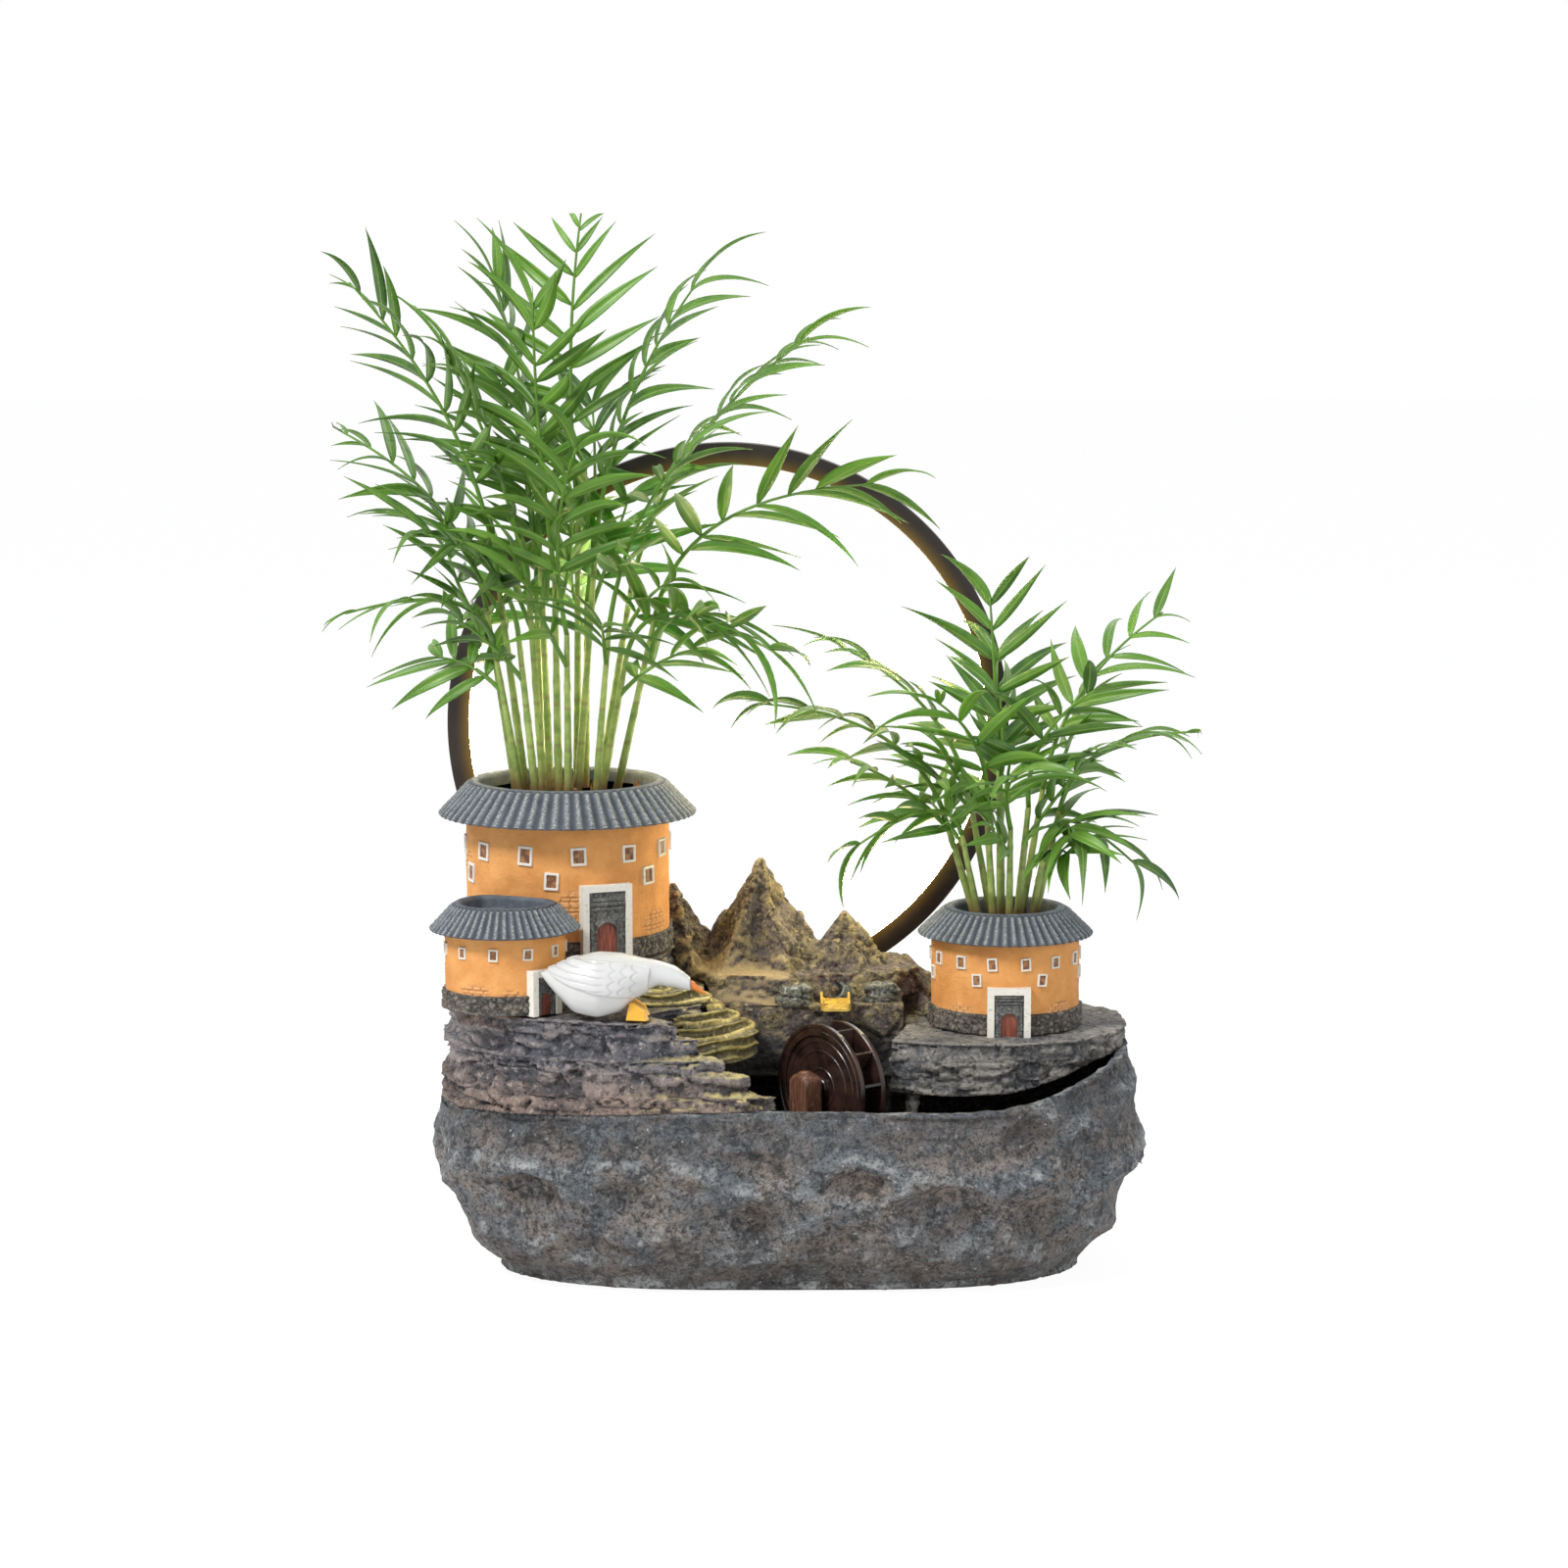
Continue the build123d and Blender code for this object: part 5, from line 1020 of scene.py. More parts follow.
def upright_streaks(tree, scale, detail, roughness):
    """Noise in streaks ten times as long as they are wide."""
    streaks = cloud(tree, 1.0, detail, roughness)
    drawn = put(tree, "ShaderNodeMapping", {"Scale": (scale, scale, scale / 10.0)})
    join(tree, put(tree, "ShaderNodeTexCoord"), "Object", drawn, "Vector")
    join(tree, drawn, 0, streaks, "Vector")
    return streaks


leaf_paint, tree, shader = start_material("red_brown_planks", 0.48)
leaf_grain = upright_streaks(tree, 900.0, 6.0, 0.65)
leaf_share = stretch(tree, leaf_grain, 0, 0.38, 0.64)
leaf_colour = blend_colour(tree, leaf_share, (0.115, 0.022, 0.014), (0.33, 0.085, 0.045))
join(tree, leaf_colour, 0, shader, "Base Color")
raise_surface(tree, shader, leaf_grain, 0, 0.0004)


def repaint(node, paint):
    """The fixed form of a node as it is, in another material."""
    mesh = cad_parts[node].data
    mesh.materials.clear()
    mesh.materials.append(paint)


for house_name in house_sites:
    for node_part, paint in (("door_frame", frame_paint), ("door_surround", stone_trim),
                             ("door_leaf", leaf_paint)):
        repaint(house_name + "_house_" + node_part, paint)

for house_name, site in house_sites.items():
    door_angle, door_width, door_height = site["door"]
    inner_width = door_width - 0.0072
    face = site["wall"] + 0.0030
    steps = []
    for level_share_up, width_share, reach in ((0.70, 0.86, 0.0006), (0.76, 0.96, 0.0010),
                                               (0.815, 0.80, 0.0007)):
        step = board("lintel_step_model", inner_width * width_share, door_height * 0.045, 0.0006 + reach)
        place = facing_matrix(site, door_angle, face - 0.0003, site["base"] + door_height * level_share_up)
        steps.append(set_copies(step, [place], house_name + "_house_lintel_step"))
    for side in (-1.0, 1.0):
        jamb = board("jamb_model", inner_width * 0.10, door_height * 0.62, 0.0009)
        place = facing_matrix(site, door_angle, face - 0.0003, site["base"] + door_height * 0.33)
        place = place @ Matrix.Translation((side * inner_width * 0.40, 0.0, 0.0))
        steps.append(set_copies(jamb, [place], house_name + "_house_door_jamb"))
    trim = joined(steps, house_name + "_house_door_trim")
    trim.data.materials.append(stone_trim)
    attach(trim, "fountain")

    bpy.ops.object.select_all(action="DESELECT")
    arch_radius = inner_width * 0.28
    bpy.ops.mesh.primitive_torus_add(major_radius=arch_radius + 0.0006, minor_radius=0.0006,
                                     major_segments=40, minor_segments=8,
                                     rotation=(math.pi / 2, 0.0, 0.0))
    arch = bpy.context.object
    arch.name = house_name + "_house_door_arch"
    bpy.ops.object.transform_apply(location=True, rotation=True, scale=True)
    bpy.ops.object.mode_set(mode="EDIT")
    bpy.ops.mesh.select_all(action="SELECT")
    bpy.ops.mesh.bisect(plane_co=(0.0, 0.0, 0.0), plane_no=(0.0, 0.0, 1.0), use_fill=True,
                        clear_inner=True)
    bpy.ops.object.mode_set(mode="OBJECT")
    leaf_top = (door_height - 0.0036) * 0.56
    arch.data.transform(facing_matrix(site, door_angle, face, site["base"] + leaf_top - arch_radius))
    bpy.ops.object.shade_smooth()
    arch.data.materials.append(stone_trim)
    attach(arch, "fountain")


# Tiled roofs
# Ring roofs of half-round tiles laid in overlapping courses from the rim down to the eave,
# cast in one and painted blue-grey with the backs of the ribs rubbed pale.
tile_course = 0.0036
tile_height = 0.0013
lap_height = 0.00045


def roof_rib(share):
    """Height of the half-round cover tile across one tile's width, 0 to 1."""
    across = (share - 0.5) / 0.30
    return math.sqrt(1.0 - across * across) if abs(across) < 1.0 else 0.0


roof_profiles = {"big": (0.0475, -0.012), "left": (0.0225, -0.006), "right": (0.0275, -0.011)}
for house_name, site in house_sites.items():
    eave_place = (site["eave_radius"], site["eave"])
    rim_place = (site["rim_radius"], site["rim"])
    seat = seat_of(site)
    inner_radius, inner_drop = roof_profiles[house_name]
    slope_length = math.dist(eave_place, rim_place)
    slope_rows = int(slope_length / 0.0006)
    profile = [(site["wall"] - 0.0004, seat)]
    profile += rows(profile[-1], (site["eave_radius"] - 0.0016, site["eave"] - 0.0002), 8)
    profile += rows(profile[-1], (site["eave_radius"], site["eave"] + 0.0004), 2)
    profile += rows(profile[-1], rim_place, slope_rows)
    profile += rows(rim_place, (site["rim_radius"] - 0.0015, site["rim"] + 0.0008), 2)
    profile += rows(profile[-1], (inner_radius + 0.0010, site["rim"] + 0.0006), 4)
    profile += rows(profile[-1], (inner_radius, site["rim"] - 0.0008), 2)
    profile += rows(profile[-1], (inner_radius, site["rim"] + inner_drop), 8)
    if house_name == "left":
        profile += rows(profile[-1], (0.002, site["rim"] - 0.0085), 8)
    else:
        profile += rows(profile[-1], (site["wall"] - 0.006, seat), 2)
    tiles = site["tiles"]
    roof = turned(house_name + "_house_tiled_roof", site["x"], site["y"], profile, tiles * 8)
    mesh = roof.data
    rib = new_mark(mesh, "rib")
    lap = new_mark(mesh, "lap")
    slope_run = site["eave_radius"] - site["rim_radius"]
    for vertex in mesh.vertices:
        outward = outward_of(site, vertex.co)
        radius = outward.length
        line_height = site["eave"] + (site["eave_radius"] - radius) / slope_run * (site["rim"] - site["eave"])
        if vertex.co.z < line_height - 0.0006 or radius < site["rim_radius"] - 0.0004:
            continue
        turn = math.degrees(math.atan2(outward.y, outward.x)) / 360.0 * tiles
        height = roof_rib(turn - math.floor(turn))
        down = (site["rim"] - vertex.co.z) / (site["rim"] - site["eave"]) * slope_length / tile_course
        step = down - math.floor(down)
        chip = bumps(vertex.co, 0.004, 3)
        grade = level_share(radius, site["rim_radius"] - 0.0002, site["rim_radius"] + 0.0015)
        lift = (tile_height * height + lap_height * step - 0.0009) * grade + 0.00012 * chip
        rib.data[vertex.index].value = height
        lap.data[vertex.index].value = step
        vertex.co += Vector((outward.x / radius * 0.5, outward.y / radius * 0.5, 0.8)) * lift
    if house_name == "left":
        # Its rim is flattened where it leans against the wall of the big house
        face = house_sites["big"]["wall"] + 0.0005
        squeezed = 0.011
        deepest = 0.045
        for vertex in mesh.vertices:
            outward = outward_of(house_sites["big"], vertex.co)
            reach = outward.length
            if reach < face + squeezed:
                inside = (reach - deepest) / (face + squeezed - deepest)
                moved = face + squeezed * inside if inside > 0.0 else face + (reach - deepest)
                vertex.co += outward.normalized() * (moved - reach)
    bpy.ops.object.shade_smooth()
    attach(roof, "fountain")
    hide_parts(house_name + "_house_roof")

roof_paint, tree, shader = start_material("blue_grey_tile_paint", 0.66)
tile_cloud = cloud(tree, 160.0, 6.0, 0.65)
tile_grit = cloud(tree, 1100.0, 4.0, 0.7)
tile_share = stretch(tree, tile_cloud, 0, 0.36, 0.64)
tile_base = blend_colour(tree, tile_share, (0.060, 0.074, 0.094), (0.125, 0.146, 0.172))
rib_mask = painted_mark(tree, "rib")
lap_mask = painted_mark(tree, "lap")
worn_rib = of_two(tree, "MULTIPLY", stretch(tree, rib_mask, "Fac", 0.55, 1.0),
                  stretch(tree, tile_grit, 0, 0.40, 0.62))
tile_rubbed = blend_colour(tree, worn_rib, tile_base, (0.42, 0.43, 0.41))
gutter = scaled(tree, stretch(tree, rib_mask, "Fac", 0.35, 0.0), 0, 0.65)
on_slope = of_two(tree, "MULTIPLY", gutter, stretch(tree, lap_mask, "Fac", 0.0, 0.05))
seam = of_two(tree, "MULTIPLY", stretch(tree, lap_mask, "Fac", 0.16, 0.02),
              stretch(tree, rib_mask, "Fac", 0.0, 0.3))
tile_shaded = blend_colour(tree, on_slope, tile_rubbed, (0.026, 0.032, 0.042))
tile_colour = blend_colour(tree, seam, tile_shaded, (0.018, 0.022, 0.030))
join(tree, tile_colour, 0, shader, "Base Color")
raise_surface(tree, shader, tile_grit, 0, 0.0004)
for house_name in house_sites:
    bpy.data.objects[house_name + "_house_tiled_roof"].data.materials.append(roof_paint)


# Planter soil
# Dark wet peat with crumbs, and the brown stubs of old canes standing in it.
soil_paint, tree, shader = start_material("dark_peat", 0.93)
soil_crumb = put(tree, "ShaderNodeTexVoronoi", {"Scale": 420.0, "Randomness": 1.0})
soil_cloud = cloud(tree, 260.0, 6.0, 0.7)
join(tree, put(tree, "ShaderNodeTexCoord"), "Object", soil_crumb, "Vector")
crumb_colour = blend_colour(tree, soil_cloud, (0.010, 0.006, 0.004), (0.110, 0.055, 0.028))
stub_mask = painted_mark(tree, "wear_and_shade")
stub_colour = blend_colour(tree, soil_cloud, (0.040, 0.014, 0.006), (0.30, 0.13, 0.055))
peat_colour = blend_colour(tree, (stub_mask, "Fac"), crumb_colour, stub_colour)
join(tree, peat_colour, 0, shader, "Base Color")
raise_surface(tree, shader, soil_crumb, "Distance", 0.0016)


def soil_relief(place, normal):
    if normal.z < 0.5:
        return 0.0, 0.0
    return 0.0016 * bumps(place, 0.007, 4) + 0.0009 * crags(place, 0.004, 3), 0.0


stub_chance = random.Random(11)
for planter, house_name in (("big_planter_soil", "big"), ("right_planter_soil", "right")):
    soil = even_copy(planter, planter + "_peat", 0.0009)
    soil_low, soil_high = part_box(planter)
    stub_spots = []
    for _ in range(34 if house_name == "big" else 16):
        turn = stub_chance.uniform(0.0, 2.0 * math.pi)
        reach = stub_chance.uniform(0.10, 0.80) * (soil_high.x - soil_low.x) / 2.0
        stub_spots.append(Vector(((soil_low.x + soil_high.x) / 2.0 + reach * math.cos(turn),
                                  (soil_low.y + soil_high.y) / 2.0 + reach * math.sin(turn),
                                  stub_chance.uniform(0.003, 0.011))))

    def stubbed_relief(place, normal):
        move, wear_and_shade_value = soil_relief(place, normal)
        for spot in stub_spots:
            gap = math.hypot(place.x - spot.x, place.y - spot.y)
            if gap < 0.0034 and normal.z > 0.5:
                stub = spot.z * (1.0 - level_share(gap, 0.0012, 0.0032))
                if stub > move:
                    move = stub
                    wear_and_shade_value = 1.0
        return move, wear_and_shade_value

    carve(soil, stubbed_relief)
    soil.data.materials.append(soil_paint)
    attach(soil, "fountain")
    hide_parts(planter)


# Lamp ring
# An aluminium channel bent to a hoop, anodised near black, with an LED strip on its floor
# and a warm milky diffuser let in flush on the inner side.
def hoop(name, outline, sides, matrix):
    """A closed ring turned about Z from a closed outline, then set in its place by a matrix."""
    piece = turned(name, 0.0, 0.0, outline, sides, closed=True)
    piece.data.transform(matrix)
    bpy.ops.object.shade_smooth_by_angle(angle=math.radians(35.0))
    return piece


ring_centre = (-0.0338, 0.084, 0.282)
ring_matrix = Matrix.Translation(ring_centre) @ Matrix.Rotation(math.pi / 2, 4, "X")
ring_outer = 0.1558
ring_inner = 0.1438
ring_half = 0.006
groove_half = 0.0043
groove_floor = 0.1488
corner = 0.0007
ease = 0.0002
channel_outline = [
    (ring_outer - corner, -ring_half), (ring_outer - corner * 0.3, -ring_half + corner * 0.3),
    (ring_outer, -ring_half + corner), (ring_outer, ring_half - corner),
    (ring_outer - corner * 0.3, ring_half - corner * 0.3), (ring_outer - corner, ring_half),
    (ring_inner + ease, ring_half), (ring_inner, ring_half - ease), (ring_inner, groove_half),
    (groove_floor, groove_half), (groove_floor, -groove_half), (ring_inner, -groove_half),
    (ring_inner, -ring_half + ease), (ring_inner + ease, -ring_half),
]
ring_channel = hoop("ring_anodised_channel", channel_outline, 256, ring_matrix)
material, tree, shader = start_material("black_anodised_metal")
metal_cloud = cloud(tree, 30.0, 4.0)
metal_grit = cloud(tree, 2600.0, 2.0)
metal_share = stretch(tree, metal_cloud, 0, 0.35, 0.65)
metal_colour = blend_colour(tree, metal_share, (0.016, 0.011, 0.009), (0.030, 0.022, 0.017))
# Painted light: the channel warms to bronze towards its inner edge, where the strip's light spills on it.
from_centre = put(tree, "ShaderNodeVectorMath", {1: ring_centre}, operation="DISTANCE")
join(tree, put(tree, "ShaderNodeTexCoord"), "Object", from_centre, 0)
painted_glow_share = stretch(tree, from_centre, "Value", 0.1525, 0.1440)
painted_glow_curve = put(tree, "ShaderNodeMath", {1: 1.8}, operation="POWER")
join(tree, painted_glow_share, 0, painted_glow_curve, 0)
painted_glow_colour = blend_colour(tree, painted_glow_curve, metal_colour, (0.20, 0.115, 0.020))
join(tree, painted_glow_colour, 0, shader, "Base Color")
shader.inputs["Metallic"].default_value = 0.35
vary_shine(tree, shader, metal_cloud, 0, 0.36, 0.50)
raise_surface(tree, shader, metal_grit, 0, 0.00006)
ring_channel.data.materials.append(material)
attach(ring_channel, "fountain")
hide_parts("ring_channel")

strip_half = groove_half - 0.00005
strip_back = ring_inner + 0.0014
ring_diffuser = hoop("ring_milky_diffuser",
                     [(ring_inner, -strip_half), (ring_inner, strip_half), (strip_back, strip_half),
                      (strip_back, -strip_half)], 256, ring_matrix)
material, tree, shader = start_material("lit_milky_silicone", 0.45)
glow_cloud = cloud(tree, 160.0, 2.0)
glow_colour = blend_colour(tree, glow_cloud, (1.0, 0.80, 0.36), (1.0, 0.86, 0.46))
join(tree, glow_colour, 0, shader, "Base Color")
join(tree, glow_colour, 0, shader, "Emission Color")
shader.inputs["Emission Strength"].default_value = 75.0
ring_diffuser.data.materials.append(material)
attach(ring_diffuser, "fountain")
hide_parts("ring_diffuser")

strip_paint, tree, shader = start_material("led_strip_tape", 0.5)
strip_chips = put(tree, "ShaderNodeTexVoronoi", {"Scale": 120.0, "Randomness": 0.2})
join(tree, put(tree, "ShaderNodeTexCoord"), "Object", strip_chips, "Vector")
chip_share = stretch(tree, strip_chips, "Distance", 0.22, 0.28)
strip_colour = blend_colour(tree, chip_share, (0.80, 0.62, 0.16), (0.72, 0.70, 0.64))
join(tree, strip_colour, 0, shader, "Base Color")
repaint("ring_led_strip", strip_paint)


# Goose
# A glazed white goose stooping to drink: body and neck in one, a carved wing on each side with
# rows of short feathers at the shoulder and long ones towards the tail.
wing_root = Vector((-0.0785, 0.0, 0.1675))
wing_tip = Vector((-0.124, 0.0, 0.1735))
wing_half = 0.0088
wing_rise = 0.0012
groove_depth = 0.00050
goose = even_copy("goose_body", "goose_glazed_body", 0.0006)
softened(goose, 30)
goose_barrel = goose.vertex_groups.new(name="barrel")
goose_barrel.add([vertex.index for vertex in goose.data.vertices if -0.124 < vertex.co.x < -0.072],
                 1.0, "REPLACE")
softened(goose, 90, "barrel")
goose.vertex_groups.clear()


def goose_relief(place, normal):
    """Raised wing with a crisp edge, scallops at its shoulder and long grooves at its end."""
    span = (wing_tip - wing_root).length
    axis = (wing_tip - wing_root) / span
    offset = Vector((place.x, 0.0, place.z)) - wing_root
    along = offset.dot(axis) / span
    up = (offset - axis * (along * span)).z
    if abs(normal.y) < 0.25 or along < -0.12 or along > 1.02:
        return 0.0, 0.0
    taper = 0.30 if along < 0.16 else 0.76
    half = wing_half * math.sqrt(max(0.0, 1.0 - (max(along, -0.12) - 0.16) ** 2 / taper))
    inside = 1.0 - level_share(abs(up - 0.0008), half - 0.0007, half + 0.0002)
    feather = 0.0
    if along > 0.34:
        lane = (up + 0.0034 * math.sin(2.6 * along) - 0.0006) / 0.0034
        groove = abs(lane - math.floor(lane) - 0.5) * 2.0
        feather = -groove_depth * level_share(groove, 0.70, 0.98) * level_share(along, 0.34, 0.44)
    elif along > -0.02:
        row = along / 0.12
        lane = up / 0.0052 + 0.5 * (math.floor(row) % 2)
        scallop = (row - math.floor(row)) - 0.55 * (1.0 - (2.0 * (lane - math.floor(lane)) - 1.0) ** 2)
        feather = -0.00036 * (1.0 - level_share(abs(scallop - 0.15), 0.03, 0.14))
    return inside * (wing_rise + feather), -feather / groove_depth * inside


carve(goose, goose_relief)
goose_paint, tree, shader = start_material("white_goose_glaze")
goose_cloud = cloud(tree, 60.0, 4.0)
goose_white = blend_colour(tree, goose_cloud, (0.68, 0.68, 0.67), (0.60, 0.60, 0.59))
# Painted shade: grey paint in the feather grooves, darker where they are deeper.
goose_groove = painted_mark(tree, "wear_and_shade")
groove_share = scaled(tree, goose_groove, "Fac", 0.45)
goose_shade = blend_colour(tree, groove_share, goose_white, (0.36, 0.36, 0.38))
join(tree, goose_shade, 0, shader, "Base Color")
vary_shine(tree, shader, goose_cloud, 0, 0.14, 0.26)
shader.inputs["Coat Weight"].default_value = 0.4
goose.data.materials.append(goose_paint)
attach(goose, "fountain")
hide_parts("goose_body")

for part, colour, second, finish in (
        ("goose_beak", (0.80, 0.25, 0.03), (0.60, 0.14, 0.02), "beak_orange"),
        ("goose_feet", (0.85, 0.48, 0.05), (0.70, 0.32, 0.03), "feet_yellow")):
    piece = even_copy(part, part + "_painted", 0.00035)
    softened(piece, 8)
    if part == "goose_feet":
        feet_low, feet_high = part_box(part)
        for vertex in piece.data.vertices:
            forward = level_share(vertex.co.x, feet_low.x, feet_high.x)
            sole = vertex.co.z - feet_low.z
            vertex.co.z = feet_low.z + sole * (0.88 - 0.50 * forward)
    material, tree, shader = start_material(part + "_paint", 0.32)
    part_cloud = cloud(tree, 500.0, 4.0)
    part_colour = blend_colour(tree, part_cloud, colour, second)
    join(tree, part_colour, 0, shader, "Base Color")
    raise_surface(tree, shader, part_cloud, 0, 0.0003)
    piece.data.materials.append(material)
    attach(piece, "fountain")
    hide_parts(part)


# Water wheel
# Two moulded discs with stepped rings on a drum of leaning buckets, glossy dark brown.
wheel_turn = math.radians(50.0)
wheel_x_axis = Vector((math.cos(wheel_turn), -math.sin(wheel_turn), 0.0))
wheel_axis = Vector((-math.sin(wheel_turn), -math.cos(wheel_turn), 0.0))
wheel_y_axis = wheel_axis.cross(wheel_x_axis)
wheel_centre = Vector((0.0225, -0.0445, 0.103))


def wheel_matrix(side):
    """From a part turned about Z to the wheel's place; side -1 looks out at the back."""
    columns = (wheel_x_axis * side, wheel_y_axis, wheel_axis * side)
    turn = Matrix([[column[row] for column in columns] for row in range(3)]).to_4x4()
    return Matrix.Translation(wheel_centre) @ turn


wheel_paint, tree, shader, lacquer_cloud = clouded(
    "dark_brown_lacquer", (90.0, 5.0, 0.6), (0.36, 0.66), (0.014, 0.008, 0.007), (0.052, 0.024, 0.017))
vary_shine(tree, shader, lacquer_cloud, 0, 0.16, 0.40)
raise_surface(tree, shader, cloud(tree, 900.0, 4.0), 0, 0.0001)

disc_profile = [
    (0.00160, 0.0057), (0.0345 - 0.0005, 0.0057), (0.0345, 0.0062), (0.0345, 0.0081),
    (0.0341, 0.0085), (0.0326, 0.0085), (0.0322, 0.0080), (0.0312, 0.0080), (0.0308, 0.0085),
    (0.0284, 0.0085), (0.0280, 0.0081), (0.0280, 0.0074), (0.0262, 0.0072), (0.0258, 0.0076),
    (0.0246, 0.0076), (0.0242, 0.0072), (0.0206, 0.0072), (0.0202, 0.0075), (0.0194, 0.0075),
    (0.0190, 0.0072), (0.0112, 0.0072), (0.0108, 0.0076), (0.0098, 0.0076), (0.0094, 0.0072),
    (0.0062, 0.0072), (0.0060, 0.0076), (0.0060, 0.0088), (0.0056, 0.0092), (0.00160, 0.0092),
]
for part, side in (("wheel_front_disc", 1), ("wheel_rear_disc", -1)):
    disc = hoop(part + "_moulded", disc_profile, 128, wheel_matrix(side))
    disc.data.materials.append(wheel_paint)
    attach(disc, "wheel")
    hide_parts(part)

repaint("wheel_buckets", wheel_paint)


# Wheel posts, axle and bushes
# Brown painted posts with a rounded top stand in the pond; brass bushes hold a steel axle.
post_paint, tree, shader = start_material("red_brown_post_paint", 0.26)
post_cloud = cloud(tree, 180.0, 6.0, 0.65)
post_streak = upright_streaks(tree, 700.0, 5.0, 0.6)
post_share = stretch(tree, post_streak, 0, 0.36, 0.66)
post_base = blend_colour(tree, post_share, (0.085, 0.034, 0.020), (0.230, 0.110, 0.070))
post_rub = stretch(tree, post_cloud, 0, 0.58, 0.74)
post_colour = blend_colour(tree, post_rub, post_base, (0.33, 0.19, 0.12))
join(tree, post_colour, 0, shader, "Base Color")
raise_surface(tree, shader, post_streak, 0, 0.0002)

post_head = 0.007
for part in ("wheel_front_post", "wheel_rear_post"):
    post = even_copy(part, part + "_painted", 0.0005)
    post_low, post_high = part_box(part)
    head = post_high.z - post_head
    axis = (post_low + post_high) / 2.0

    def post_relief(place, normal):
        above = max(0.0, place.z - head) / post_head
        across = math.hypot(place.x - axis.x, place.y - axis.y)
        rounding = 0.0030 * level_share(above * across / 0.0068, 0.35, 1.05)
        return -rounding - 0.00015 * (1.0 + bumps(place, 0.005, 3)), 0.0

    carve(post, post_relief)
    softened(post, 34)
    post.data.materials.append(post_paint)
    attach(post, "fountain")
    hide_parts(part)


def turned_metal(name, low, high, grain, shine_low, shine_high):
    """Metal with fine turning marks and cloudy wear."""
    material, tree, shader, wear_and_shade_value = clouded(name, (220.0, 5.0), (0.36, 0.64), low, high)
    shader.inputs["Metallic"].default_value = 1.0
    vary_shine(tree, shader, wear_and_shade_value, 0, shine_low, shine_high)
    raise_surface(tree, shader, cloud(tree, grain, 3.0), 0, 0.00008)
    return material


steel = turned_metal("axle_steel", (0.42, 0.42, 0.43), (0.60, 0.60, 0.61), 2400.0, 0.20, 0.38)
brass = turned_metal("bush_brass", (0.42, 0.26, 0.08), (0.70, 0.47, 0.17), 2200.0, 0.24, 0.45)
for part, metal in (("wheel_axle", steel), ("wheel_front_bush", brass), ("wheel_rear_bush", brass)):
    repaint(part, metal)


# Palms
# Parlour palms: clumps of ringed green canes, each ending in an arching stalk with two ranks of
# long pointed leaflets, folded along a pale midrib and drooping towards their tips.
palm_sites = {
    "big": dict(x=-0.1198, y=0.016, soil=0.2465, root=0.027, reach=0.167, height=0.316, leaf=0.060),
    "small": dict(x=0.117, y=0.005, soil=0.179, root=0.015, reach=0.132, height=0.181, leaf=0.048),
}

# Each frond: heading as a share of a turn, then reach, tip height, root and cane height as
# shares of the palm's own sizes
palm_fronds = {
    "big": [
        (0.98, 1.00, 0.55, 0.95, 0.32), (0.03, 0.80, 0.79, 0.60, 0.36), (0.92, 0.78, 0.27, 0.75, 0.26),
        (0.12, 0.12, 1.00, 0.25, 0.50), (0.42, 0.27, 0.90, 0.40, 0.42), (0.53, 0.68, 0.885, 0.80, 0.38),
        (0.49, 0.755, 0.64, 1.00, 0.33), (0.57, 0.74, 0.34, 0.95, 0.27), (0.76, 0.50, 0.62, 0.90, 0.30),
        (0.64, 0.62, 0.48, 0.90, 0.29), (0.86, 0.62, 0.60, 0.95, 0.31), (0.36, 0.34, 0.72, 0.80, 0.36),
        (0.18, 0.26, 0.68, 0.75, 0.34), (0.70, 0.24, 0.86, 0.45, 0.40), (0.96, 0.44, 0.88, 0.20, 0.42),
        (0.60, 0.42, 0.76, 0.55, 0.37),
    ],
    "small": [
        (0.49, 1.00, 0.67, 0.95, 0.34), (0.46, 0.70, 0.84, 0.45, 0.40), (0.58, 0.10, 1.00, 0.20, 0.48),
        (0.03, 0.66, 0.94, 0.50, 0.42), (0.98, 0.785, 0.60, 0.95, 0.36), (0.94, 0.56, 0.22, 0.90, 0.28),
        (0.54, 0.64, 0.27, 0.90, 0.29), (0.76, 0.44, 0.50, 0.90, 0.32), (0.86, 0.50, 0.75, 0.55, 0.38),
        (0.65, 0.50, 0.72, 0.70, 0.38), (0.27, 0.28, 0.80, 0.80, 0.40),
    ],
}


def frond_points(site, frond):
    """Root, knee, pull point and tip of one frond."""
    heading, reach_share, tip_share, root_share, cane_share = frond
    turn = 2.0 * math.pi * heading
    outward = Vector((math.cos(turn), math.sin(turn), 0.0))
    middle = Vector((site["x"], site["y"], site["soil"]))
    upward = Vector((0.0, 0.0, site["height"]))
    root = middle + outward * (root_share * site["root"])
    tip = middle + outward * (reach_share * site["reach"]) + upward * tip_share
    run = root_share * site["root"]
    knee = middle + outward * (run + 0.16 * (reach_share * site["reach"] - run)) + upward * cane_share
    lift = (knee - root).normalized()
    pull = knee + lift * ((tip - knee).length * 0.5)
    return root, knee, pull, tip


